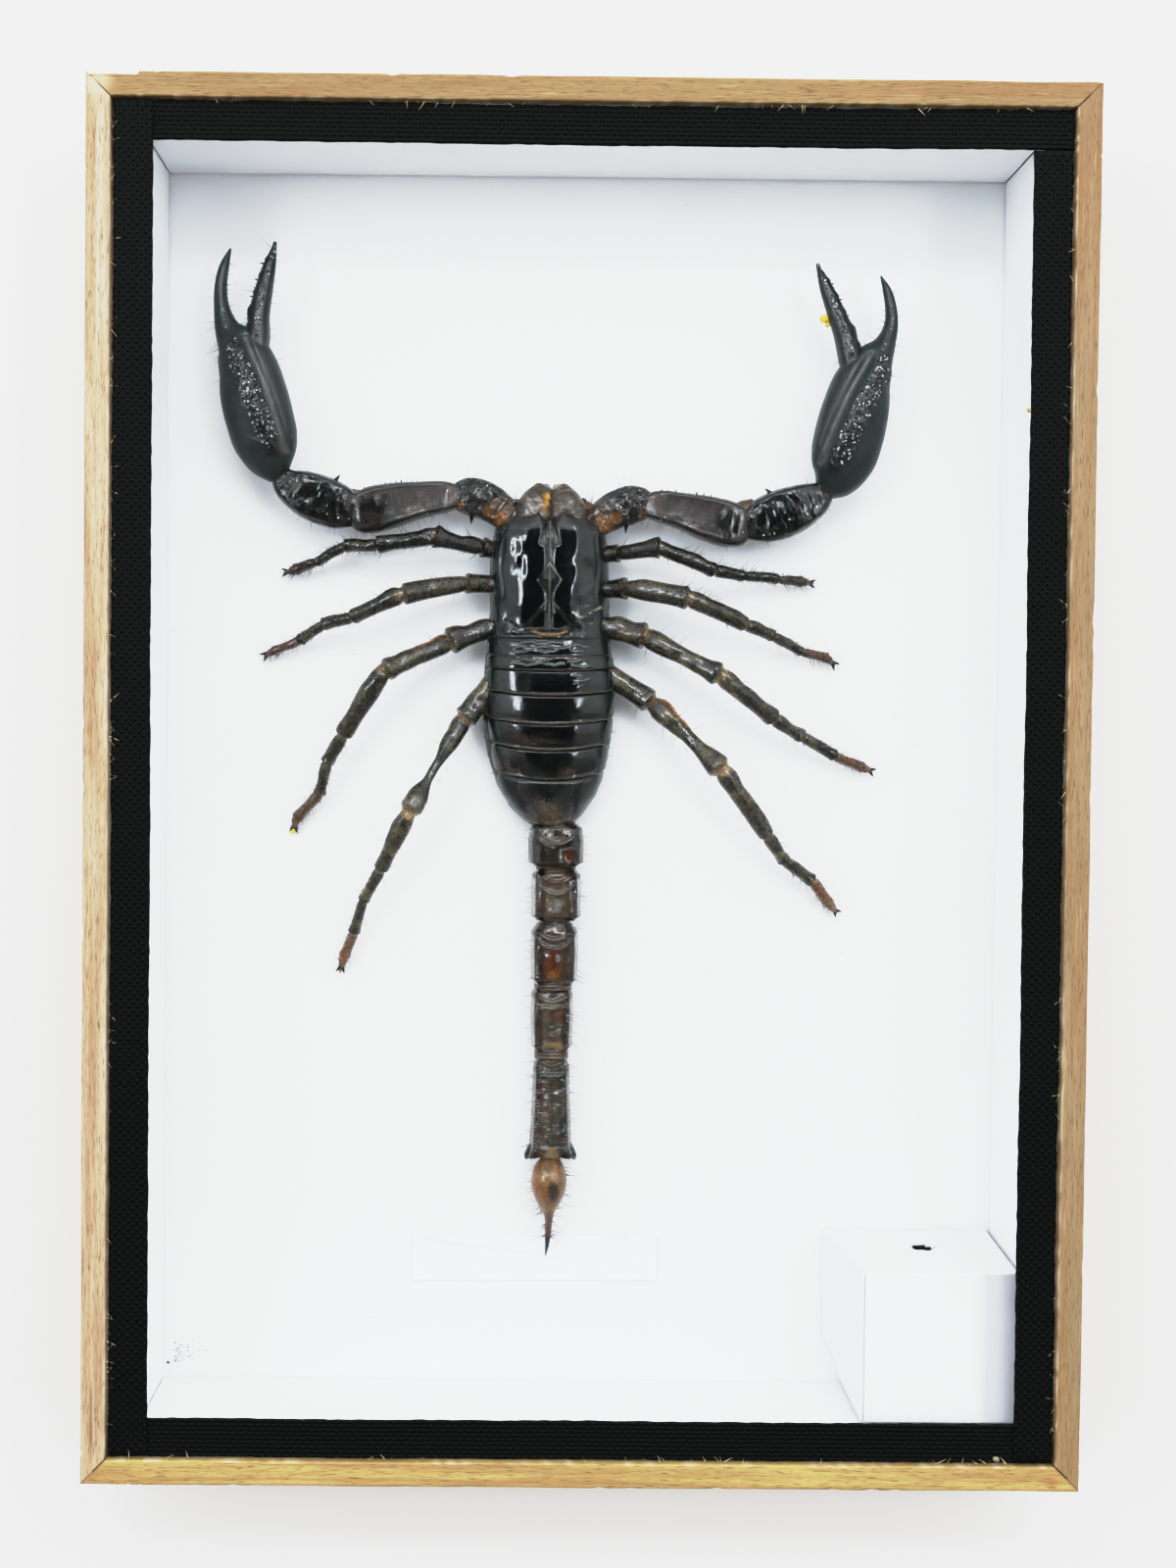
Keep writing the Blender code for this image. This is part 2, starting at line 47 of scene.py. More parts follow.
def addNode(tree, kind, settings=None, inputs=None):
    item = tree.nodes.new(kind)
    for key, value in (settings or {}).items():
        setattr(item, key, value)
    for key, value in (inputs or {}).items():
        if isinstance(value, bpy.types.NodeSocket):
            tree.links.new(value, item.inputs[key])
        else:
            item.inputs[key].default_value = value
    return item


def startFinish(name, values):
    finish = bpy.data.materials.new(name)
    finish.use_nodes = True
    shader = finish.node_tree.nodes["Principled BSDF"]
    for key, value in values.items():
        shader.inputs[key].default_value = value
    return finish, finish.node_tree, shader


def objectPlace(tree):
    return addNode(tree, "ShaderNodeTexCoord").outputs["Object"]


def readAttribute(tree, name, output="Color"):
    return addNode(tree, "ShaderNodeAttribute", {"attribute_name": name}).outputs[output]


def addNoise(tree, place, scale, detail=3.0, rough=0.55, twist=0.0):
    inputs = {"Vector": place, "Scale": scale, "Detail": detail, "Roughness": rough, "Distortion": twist}
    return addNode(tree, "ShaderNodeTexNoise", {}, inputs).outputs["Fac"]


def addRamp(tree, fac, stops):
    item = addNode(tree, "ShaderNodeValToRGB", {}, {"Fac": fac})
    elements = item.color_ramp.elements
    while len(elements) < len(stops):
        elements.new(0.5)
    for element, (spot, tone) in zip(elements, stops):
        element.position = spot
        element.color = (*tone, 1.0) if isinstance(tone, tuple) else (tone, tone, tone, 1.0)
    return item.outputs["Color"]


def mixTones(tree, fac, first, second):
    item = addNode(tree, "ShaderNodeMix", {"data_type": "RGBA"})
    for index, value in ((0, fac), (6, first), (7, second)):
        if isinstance(value, bpy.types.NodeSocket):
            tree.links.new(value, item.inputs[index])
        else:
            item.inputs[index].default_value = (*value, 1.0) if index else value
    return item.outputs[2]


def doMath(tree, way, first, second=0.0, third=0.0):
    return addNode(tree, "ShaderNodeMath", {"operation": way}, {0: first, 1: second, 2: third}).outputs[0]


def addBump(tree, shader, height, strength, depth):
    bump = addNode(tree, "ShaderNodeBump", {}, {"Height": height, "Strength": strength, "Distance": depth})
    previous = shader.inputs["Normal"].links
    if previous:
        tree.links.new(previous[0].from_socket, bump.inputs["Normal"])
    tree.links.new(bump.outputs[0], shader.inputs["Normal"])


def ease(low, high, value):
    t = np.clip((value - low) / (high - low), 0.0, 1.0)
    return t * t * (3 - 2 * t)


def bell(value, width):
    return np.exp(-(value / width) ** 2)


def spotsAt(*parts):
    return np.stack(np.broadcast_arrays(*parts), -1)


def latticeNoise(points, seed=0):
    # smooth random values from -1 to 1 at points (..., 3), one unit to a cell
    shape = np.shape(points)[:-1]
    points = np.asarray(points, float).reshape(-1, 3)
    cell = np.floor(points).astype(np.int64)
    part = points - cell
    part = part * part * (3 - 2 * part)
    total = np.zeros(len(points))
    for corner in range(8):
        step = np.array([(corner >> k) & 1 for k in range(3)])
        key = (cell + step).astype(np.uint64)
        x, y, z = (key * np.array([73856093, 19349663, 83492791], np.uint64)).T
        mixed = x ^ y ^ z
        mixed = (mixed + np.uint64(seed * 977 + 13)) * np.uint64(6364136223846793005)
        value = ((mixed >> np.uint64(33)) & np.uint64(0xFFFFFF)).astype(float) / 0x7FFFFF - 1.0
        weight = np.prod(np.where(step == 1, part, 1 - part), axis=1)
        total += value * weight
    return total.reshape(shape)


class MeshPot:
    # gathers grids of points, with a tone and a finish at each, into one mesh

    def __init__(self):
        self.points, self.tones, self.finishes, self.faces, self.count = [], [], [], [], 0

    def addPoints(self, points, tones, finishes):
        points = np.asarray(points, float).reshape(-1, 3)
        start = self.count
        self.points.append(points)
        self.tones.append(np.broadcast_to(np.asarray(tones, float), (len(points), 3)).copy())
        self.finishes.append(np.broadcast_to(np.asarray(finishes, float), (len(points), 3)).copy())
        self.count += len(points)
        return start

    def addRings(self, grid, tones, finishes):
        # rings of points, closed round and capped at both ends
        self.addGrid(grid, tones, finishes, closed=True)

    def addGrid(self, grid, tones, finishes, closed=False, flip=False):
        # grid (rows, columns, 3); the outward side is the one that sees rows x columns turn left
        grid = np.asarray(grid, float)
        rows, columns = grid.shape[:2]
        tones = np.broadcast_to(np.asarray(tones, float), (rows, columns, 3)).reshape(-1, 3)
        finishes = np.broadcast_to(np.asarray(finishes, float), (rows, columns, 3)).reshape(-1, 3)
        start = self.addPoints(grid, tones, finishes)
        i, j = np.meshgrid(np.arange(rows - 1), np.arange(columns if closed else columns - 1), indexing="ij")
        k = (j + 1) % columns
        near, far = i * columns, (i + 1) * columns
        quads = np.stack([near + j, near + k, far + k, far + j], -1).reshape(-1, 4) + start
        if flip:
            quads = quads[:, ::-1]
        self.faces += quads.tolist()
        for row in (0, rows - 1) if closed else ():
            middle = self.addPoints(grid[row].mean(0), tones[row * columns], finishes[row * columns])
            for c in range(columns):
                a, b = start + row * columns + c, start + row * columns + (c + 1) % columns
                self.faces.append([middle, b, a] if row == 0 else [middle, a, b])

    def addPlate(self, grid, tones, finishes, thickness):
        # a shell plate: the upper face in full, a rounded rim and a plain closed underside
        rows, columns = grid.shape[:2]
        self.addGrid(grid, tones, finishes, flip=True)
        start = self.count - rows * columns
        index = np.arange(rows * columns).reshape(rows, columns)
        loop = np.concatenate([index[0, :-1], index[:-1, -1], index[-1, :0:-1], index[:0:-1, 0]])
        edge = grid.reshape(-1, 3)[loop]
        middle = edge.mean(0)
        inward = middle - edge
        inward[:, 2] = 0
        inward /= np.linalg.norm(inward, axis=1)[:, None] + 1e-9
        down = np.array([0, 0, -1.0])
        tone = np.broadcast_to(tones, (rows, columns, 3)).reshape(-1, 3)[loop]
        gloss = np.broadcast_to(finishes, (rows, columns, 3)).reshape(-1, 3)[loop]
        previous = start + loop
        for push, drop in ((-0.35, 0.45), (0.3, 1.0)):
            ring = self.addPoints(edge + (inward * push + down * drop) * thickness, tone, gloss)
            ring = ring + np.arange(len(loop))
            following = np.roll(previous, -1), np.roll(ring, -1)
            self.faces += np.stack([previous, following[0], following[1], ring], -1).tolist()
            previous = ring
        self.faces.append(previous[::-1].tolist())

    def build(self, name, finish, slot="shell", stands=()):
        mesh = bpy.data.meshes.new(name)
        points = np.concatenate(self.points) * mm
        mesh.from_pydata(points.tolist(), [], self.faces)
        for label, values in (("tone", self.tones), ("finish", self.finishes)):
            data = np.concatenate([np.concatenate(values), np.ones((len(points), 1))], axis=1)
            layer = mesh.color_attributes.new(label, "FLOAT_COLOR", "POINT")
            layer.data.foreach_set("color", data.astype(np.float32).ravel())
        sheet = bmesh.new()
        sheet.from_mesh(mesh)
        bmesh.ops.remove_doubles(sheet, verts=sheet.verts, dist=2e-7)
        bmesh.ops.recalc_face_normals(sheet, faces=sheet.faces)
        sheet.to_mesh(mesh)
        sheet.free()
        mesh.polygons.foreach_set("use_smooth", [True] * len(mesh.polygons))
        mesh.materials.append(finish)
        mesh.update()
        return placePiece(name, mesh, stands)


def placePiece(name, mesh, stands=()):
    piece = bpy.data.objects.new(name, mesh)
    bpy.context.scene.collection.objects.link(piece)
    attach(piece, "root")
    if stands:
        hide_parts(*stands)
    return piece


cameraFit = {
    "place": (-0.0117, 0.0097, 0.3611),
    "turnDegrees": (-1.67, -0.39, 0.57),
    "focalPixels": 2190.0,
    "shift": (0.0391, 0.0021),
}


def addCamera():
    data = bpy.data.cameras.new("camera")
    data.sensor_fit = "AUTO"
    data.sensor_width = 36.0
    data.lens = cameraFit["focalPixels"] * 36.0 / 1600.0
    data.shift_x, data.shift_y = cameraFit["shift"]
    data.clip_start = 0.02
    camera = bpy.data.objects.new("camera", data)
    bpy.context.scene.collection.objects.link(camera)
    camera.location = cameraFit["place"]
    camera.rotation_euler = [math.radians(a) for a in cameraFit["turnDegrees"]]
    bpy.context.scene.camera = camera


windowLight = {
    "height": 1.0,
    "left": {"x": (-0.74, -0.54), "y": (-0.01, 0.33), "radiance": 12.0, "tone": (0.84, 0.92, 1.0)},
    "right": {"x": (0.39, 0.49), "y": (-0.01, 0.34), "radiance": 14.0, "tone": (0.84, 0.92, 1.0)},
    "top": {"x": (-0.34, 0.34), "y": (0.46, 0.60), "radiance": 11.0, "tone": (0.95, 0.97, 1.0)},
}
roomLight = {
    "strength": 1.22, "zenith": (0.012, 0.014, 0.014), "shade": (0.27, 0.235, 0.205),
    "left": (0.94, 0.955, 0.97), "right": (1.16, 1.155, 1.15),
}


def addWindow(name, spec):
    data = bpy.data.lights.new(name, "AREA")
    data.shape = "RECTANGLE"
    data.size = spec["x"][1] - spec["x"][0]
    data.size_y = spec["y"][1] - spec["y"][0]
    data.energy = spec["radiance"] * math.pi * data.size * data.size_y
    data.color = spec["tone"]
    lamp = bpy.data.objects.new(name, data)
    lamp.location = (sum(spec["x"]) / 2, sum(spec["y"]) / 2, windowLight["height"])
    bpy.context.scene.collection.objects.link(lamp)


def addRoom():
    world = bpy.data.worlds.new("room")
    world.use_nodes = True
    tree = world.node_tree
    heading = addNode(tree, "ShaderNodeTexCoord").outputs["Generated"]
    # the room is bright all round but for a shaded patch low beyond the box's lower end
    parts = addNode(tree, "ShaderNodeSeparateXYZ", {}, {0: heading})
    down = doMath(tree, "MULTIPLY", parts.outputs["Y"], -1.0)
    near = addRamp(tree, doMath(tree, "ADD", down, 0.1), ((0.06, 0.0), (0.50, 1.0)))
    sideways = doMath(tree, "MULTIPLY_ADD", parts.outputs["X"], 0.5, 0.5)
    horizon = mixTones(tree, sideways, roomLight["left"], roomLight["right"])
    walls = mixTones(tree, near, horizon, roomLight["shade"])
    high = addRamp(tree, parts.outputs["Z"], ((0.86, 0.0), (0.93, 1.0)))
    tone = mixTones(tree, high, walls, roomLight["zenith"])
    tree.links.new(tone, tree.nodes["Background"].inputs["Color"])
    tree.nodes["Background"].inputs["Strength"].default_value = roomLight["strength"]
    bpy.context.scene.world = world


def speckledFinish(name, values, scale, stops):
    finish, tree, shader = startFinish(name, values)
    speck = addNoise(tree, objectPlace(tree), scale, 2.0)
    tree.links.new(addRamp(tree, speck, stops), shader.inputs["Base Color"])
    return finish


def addStageFloor():
    finish = startFinish("tableTop", {"Base Color": (0.91, 0.90, 0.895, 1), "Roughness": 0.7})[0]
    mesh = bpy.data.meshes.new("tableTop")
    reach = 1.6
    corners = [(-reach, -reach, 0), (reach, -reach, 0), (reach, reach, 0), (-reach, reach, 0)]
    mesh.from_pydata(corners, [], [(0, 1, 2, 3)])
    mesh.materials.append(finish)
    table = bpy.data.objects.new("tableTop", mesh)
    bpy.context.scene.collection.objects.link(table)


addCamera()
for lampName in ("left", "right", "top"):
    addWindow(lampName + "Window", windowLight[lampName])
addRoom()
addStageFloor()
view = bpy.context.scene.view_settings
view.view_transform = "Standard"
view.look = "None"
view.use_curve_mapping = True  # a camera's gentle shoulder, so that white card stays even
toneCurve = {
    "white": 1.6,
    "points": ((0.02, 0.013), (0.06, 0.052), (0.14, 0.145), (0.3, 0.40), (0.42, 0.65), (0.55, 0.78),
               (0.7, 0.84), (0.9, 0.872), (1.2, 0.905), (1.5, 0.95)),
}
view.curve_mapping.white_level = (toneCurve["white"],) * 3
for brightness, shown in toneCurve["points"]:
    view.curve_mapping.curves[3].points.new(brightness / toneCurve["white"], shown)
view.curve_mapping.update()
print("camera and light ready")


def cardFinish(name, tone, fibre=0.35, smudge=0.03):
    finish, tree, shader = startFinish(name, {"Roughness": 0.62, "Specular IOR Level": 0.35})
    place = objectPlace(tree)
    cloud = addNoise(tree, place, 45.0, 4.0)
    darker = tuple(channel * (1 - smudge) for channel in tone)
    body = mixTones(tree, addRamp(tree, cloud, ((0.35, 0.0), (0.7, 1.0))), tone, darker)
    grain = addNoise(tree, place, 2600.0, 3.0, 0.6)
    body = mixTones(tree, addRamp(tree, grain, ((0.62, 0.0), (0.8, 0.25))), body, (0.7, 0.69, 0.68))
    tree.links.new(body, shader.inputs["Base Color"])
    addBump(tree, shader, grain, fibre, 0.00004)
    return finish


def dressCadNode(name, finish):
    for slot in cadNodes[name].material_slots:
        slot.material = finish


def boardFinish():
    finish, tree, shader = startFinish("backBoard", {"Roughness": 0.72})
    place = objectPlace(tree)
    fibres = addNoise(tree, place, 900.0, 6.0, 0.7, 0.6)
    stops = ((0.3, (0.17, 0.095, 0.05)), (0.55, (0.30, 0.18, 0.10)), (0.75, (0.42, 0.28, 0.17)))
    tree.links.new(addRamp(tree, fibres, stops), shader.inputs["Base Color"])
    addBump(tree, shader, fibres, 0.5, 0.0002)
    return finish


dressCadNode("floor_sheet", cardFinish("floorCard", (0.80, 0.807, 0.81), 0.2, 0.02))
dressCadNode("back_board", boardFinish())
glassValues = {"Base Color": (1, 1, 1, 1), "Roughness": 0.0, "Transmission Weight": 1.0, "IOR": 1.5}
dressCadNode("glass_pane", startFinish("clearGlass", glassValues)[0])
cadNodes["glass_pane"].visible_shadow = False
print("card, board and glass dressed")


def shellFinish(name, coat, coatRough, patch, patchTone, wrinkle):
    # colour and gloss come from the mesh; patches and fine wrinkles are added here
    values = {"Coat Weight": coat, "Coat Roughness": coatRough, "Coat IOR": 1.5, "IOR": 1.5}
    finish, tree, shader = startFinish(name, values)
    place = objectPlace(tree)
    tone = readAttribute(tree, "tone")
    gloss = addNode(tree, "ShaderNodeSeparateColor", {}, {0: readAttribute(tree, "finish")})
    blotch = addNoise(tree, place, 330.0, 5.0, 0.6, 0.7)
    share = doMath(tree, "MULTIPLY", addRamp(tree, blotch, ((0.47, 0.0), (0.6, 1.0))), gloss.outputs[1])
    body = mixTones(tree, doMath(tree, "MULTIPLY", share, patch), tone, patchTone)
    speck = addNoise(tree, place, 2400.0, 4.0, 0.65)
    body = mixTones(tree, addRamp(tree, speck, ((0.35, 0.5), (0.6, 0.0))), body, (0.002, 0.003, 0.0025))
    tree.links.new(body, shader.inputs["Base Color"])
    rough = doMath(tree, "MULTIPLY_ADD", speck, 0.07, doMath(tree, "SUBTRACT", gloss.outputs[0], 0.03))
    tree.links.new(rough, shader.inputs["Roughness"])
    fine = addNoise(tree, place, 1500.0, 3.0, 0.5)
    height = doMath(tree, "MULTIPLY", fine, gloss.outputs[2])
    addBump(tree, shader, height, wrinkle, 0.00003)
    return finish


glossShell = shellFinish("glossShell", 0.3, 0.03, 0.5, (0.02, 0.026, 0.022), 0.35)
satinShell = shellFinish("satinShell", 0.2, 0.25, 0.35, (0.03, 0.028, 0.025), 0.6)
legShell = shellFinish("legShell", 0.35, 0.12, 0.5, (0.045, 0.032, 0.017), 0.8)
tailShell = shellFinish("tailShell", 0.35, 0.1, 0.4, (0.05, 0.035, 0.02), 0.6)

shellTone = {
    "black": (0.0016, 0.0026, 0.0024),
    "deep": (0.0008, 0.0014, 0.0012),
    "greyGreen": (0.005, 0.0115, 0.0105),
    "dull": (0.011, 0.011, 0.008),
    "rim": (0.15, 0.155, 0.11),
    # the next tone is the pale colour of painted highlights and glints
    "paintedGlint": (0.20, 0.22, 0.22),
    "warm": (0.14, 0.115, 0.075),
    # the next tone is a painted reflection: the pale sheen on the tail's flanks
    "paintedFlankSheen": (0.36, 0.345, 0.33),
    "tan": (0.20, 0.135, 0.065),
    "cream": (0.30, 0.25, 0.17),
    "olive": (0.05, 0.043, 0.022),
    "amber": (0.25, 0.105, 0.022),
    "redBrown": (0.085, 0.022, 0.008),
    "brown": (0.055, 0.026, 0.013),
    "mauve": (0.042, 0.032, 0.028),
    "dusk": (0.028, 0.021, 0.018),
    "yellow": (0.55, 0.33, 0.04),
    "grey": (0.07, 0.07, 0.062),
    "sting": (0.12, 0.06, 0.045),
}


def toneOf(name):
    return np.array(shellTone[name])


def paintOver(tones, *layers):
    # each layer is how much of it there is, from 0 to 1, and its tone
    for weight, tone in layers:
        weight = np.asarray(weight)[..., None]
        tones = tones * (1 - weight) + toneOf(tone) * weight
    return tones


# trunk: head shield, seven back plates and the soft body under them
trunk = {
    "stations": (45.0, 42.0, 38.0, 33.0, 29.0, 26.0, 24.0, 20.5, 18.4, 14.5, 11.5, 8.5, 4.4, 0.3, -1.8,
                 -4.0, -6.4),
    "middle": (-5.8, -5.85, -5.85, -5.85, -5.85, -5.85, -5.9, -5.7, -5.6, -5.6, -5.6, -5.55, -5.5, -5.5,
               -5.5, -5.4, -5.2),
    "halfWidth": (5.9, 8.7, 9.5, 9.6, 9.5, 9.55, 9.8, 10.35, 10.5, 10.6, 10.4, 9.95, 9.4, 8.45, 7.6,
                  6.0, 3.9),
    "top": (8.9, 9.5, 9.7, 9.75, 9.6, 9.4, 9.3, 9.9, 10.1, 10.4, 10.4, 10.25, 9.8, 9.1, 8.7, 8.2, 7.7),
    "edge": (5.2, 5.1, 5.0, 5.0, 5.0, 5.0, 5.1, 5.4, 5.5, 5.5, 5.5, 5.4, 5.2, 4.9, 4.7, 4.5, 4.2),
    "plateEnds": (23.7, 20.7, 18.5, 14.5, 9.8, 5.6, 0.9, -6.6),
    "bow": (0.35, 0.5, 0.95, 1.1, 1.25, 1.2, 0.7),
    "archPower": 2.3,
    "blotches": (0.05, 0.05, 0.05, 0.3, 0.5, 0.6, 0.9),
}


def trunkAt(key, y):
    return np.interp(-np.asarray(y), [-s for s in trunk["stations"]], trunk[key])


def arch(u):
    return np.sqrt(np.clip(1 - np.abs(u) ** trunk["archPower"], 0, 1))


def ridgeAlong(x, y, points, width):
    # how close each spot is to a line through the points, from 0 to 1
    best = np.full(np.shape(x), 1e9)
    for (ax, ay), (bx, by) in zip(points, points[1:]):
        length = (bx - ax) ** 2 + (by - ay) ** 2
        t = np.clip(((x - ax) * (bx - ax) + (y - ay) * (by - ay)) / length, 0, 1)
        best = np.minimum(best, (x - ax - t * (bx - ax)) ** 2 + (y - ay - t * (by - ay)) ** 2)
    return np.exp(-best / width ** 2)


carapace = {
    "front": 45.0, "cornerY": 43.7, "notchDepth": 2.3, "notchHalf": 0.27, "rear": 23.75,
    "eyeMound": (0.0, 33.2, 1.8, 2.7, 0.75),
    "medianEyes": ((-1.15, 33.4), (1.05, 33.4)),
    "sideEyes": ((-7.7, 41.6), (-8.0, 40.9), (7.7, 41.6), (8.0, 40.9)),
    "rearHollow": {"apexY": 30.4, "baseY": 25.1, "half": 4.2, "depth": 0.5},
}


def addCarapace(pot):
    u = np.linspace(-1, 1, 141)
    v = np.linspace(0, 1, 150) ** 0.93
    reach = np.abs(u)
    front = carapace["front"] - (carapace["front"] - carapace["cornerY"]) * ease(0.74, 1.04, reach)
    front -= carapace["notchDepth"] * np.clip(1 - reach / carapace["notchHalf"], 0, 1) ** 0.8
    front += 0.12 * np.sin(u * 21) * (reach < 0.8)
    y = front * (1 - v[:, None]) + (carapace["rear"] + 0.25 * u ** 2) * v[:, None]
    uu = np.broadcast_to(u, y.shape)
    x = uu * trunkAt("halfWidth", y)
    z = trunkAt("edge", y) + (trunkAt("top", y) - trunkAt("edge", y)) * arch(uu)
    z -= 0.8 * ease(2.4, 0.0, front - y) ** 2
    wave = latticeNoise(spotsAt(x * 0.3, y * 0.22, 0.0), 5)
    small = latticeNoise(spotsAt(x * 0.45, y * 0.4, 0.0), 6)
    sway = latticeNoise(spotsAt(x * 0.28, y * 0.2, 4.0), 12)
    dent = latticeNoise(spotsAt(x * 0.9, y * 0.55, 7.0), 13)
    outer = ease(0.25, 0.5, np.abs(uu))
    flank = ease(0.45, 0.7, np.abs(uu)) * ease(1.0, 0.9, np.abs(uu))
    z += 0.05 * wave + (0.3 * sway + 0.11 * dent) * outer + 0.2 * small * flank
    side = np.abs(x)
    furrow = ease(24.6, 26.0, y) * (0.30 + 0.3 * ease(36.0, 42.0, y))
    z -= furrow * bell(side, 0.62 + 0.35 * ease(36, 43, y))
    z += 0.24 * bell(side, 0.16) * ease(24.8, 25.6, y) * ease(42.3, 41.0, y)
    mx, my, mw, mh, rise = carapace["eyeMound"]
    diamond = 1 - np.abs(x - mx) / mw - np.abs(y - my) / mh
    z += rise * ease(-0.1, 0.8, diamond) - 0.12 * bell(diamond + 0.08, 0.09)
    for ex, ey in carapace["medianEyes"]:
        z += 0.42 * ease(0.48, 0.1, np.hypot(x - ex, y - ey))
    for ex, ey in carapace["sideEyes"]:
        z += 0.35 * ease(0.42, 0.1, np.hypot(x - ex, y - ey))
    hollow = carapace["rearHollow"]
    within = hollow["half"] * (hollow["apexY"] - y) / (hollow["apexY"] - hollow["baseY"]) - side
    within += 0.12 * small
    baseY = hollow["baseY"]
    z -= hollow["depth"] * ease(-0.6, 0.7, within) * ease(baseY - 0.5, baseY + 0.3, y)
    for sign in (-1, 1):
        arm = [(sign * 4.1, 25.4), (sign * 5.2, 25.2), (sign * 6.9, 26.5)]
        z -= 0.30 * ridgeAlong(x, y, arm, 0.34)
        z += 0.22 * ridgeAlong(x, y, [(sign * 5.9, 24.4), (sign * 6.9, 24.6)], 0.75)
        z -= 0.28 * ridgeAlong(x, y, [(sign * 1.3, 39.3), (sign * 0.6, 41.6)], 0.4)
        z -= 0.14 * ridgeAlong(x, y, [(sign * 7.4, 39.5), (sign * 7.9, 35.5), (sign * 7.3, 31.0)], 0.35)
    crease = ridgeAlong(x, y, [(4.4, 26.7), (6.2, 27.6), (8.4, 28.9)], 0.2)
    crease *= ease(-0.35, 0.25, latticeNoise(spotsAt(x * 2.1, y * 2.1, z), 7))
    z += 0.2 * crease
    rearRim = ridgeAlong(x, y, [(-2.6, 25.0), (-1.2, 24.3), (1.4, 24.3), (2.7, 24.9)], 0.28)
    z += 0.18 * rearRim + 0.16 * ease(0.5, 0.1, y - carapace["rear"])
    bead = ease(0.965, 0.985, np.abs(uu))
    z += 0.18 * bead
    # the flanks are painted grey-green, partly the shell's own tint and partly a painted reflection of the
    # room; a thin painted highlight runs along the centre ridge
    tones = paintOver(
        toneOf("black"),
        (0.75 * ease(0.50, 0.66, np.abs(uu)), "greyGreen"),
        (0.7 * bead, "rim"),
        (0.6 * ease(41.0, 42.8, y) * ease(-0.8, 0.4, dent), "dusk"),
        (0.8 * crease, "cream"),
        (0.75 * rearRim, "tan"),
        (0.6 * bell(side, 0.13) * ease(24.8, 25.6, y), "rim"))
    # painted highlights: pale glint lines round the eye mound, the rear hollow and the arms of the rear
    # furrows, broken up by noise
    glintBreakup = ease(-0.2, 0.35, dent + 0.5 * wave)
    outline = bell(diamond + 0.02 + 0.04 * dent, 0.07)
    outline = outline + bell(within, 0.12) * (y > baseY)
    for s in (-1, 1):
        outline = outline + ridgeAlong(x, y, [(s * 4.0, 25.2), (s * 5.2, 25.0), (s * 6.6, 26.2)], 0.22)
        outline = outline + 0.55 * ridgeAlong(x, y, [(s * 4.6, 26.4), (s * 6.0, 24.9)], 0.65)
        outline = outline + ridgeAlong(x, y, [(s * 0.7, 30.9), (s * 0.5, 29.4), (s * 0.9, 27.9)], 0.14)
    tones = paintOver(tones, (0.7 * np.clip(outline * glintBreakup, 0, 1), "paintedGlint"))
    for ex, ey in carapace["medianEyes"]:
        tones = paintOver(tones, (ease(0.5, 0.35, np.hypot(x - ex, y - ey)), "deep"))
    gloss = 0.12 + 0.10 * ease(0.6, 0.8, np.abs(uu)) + 0.45 * ease(40.9, 42.3, y)
    blotched, wrinkled = 0.8 * ease(0.45, 0.7, np.abs(uu)), 0.15 + 0.6 * ease(41.0, 42.5, y)
    grid = np.stack([x + trunkAt("middle", y), y, z + floorTop], -1)
    pot.addPlate(grid, tones, spotsAt(gloss, blotched, wrinkled), 0.5)


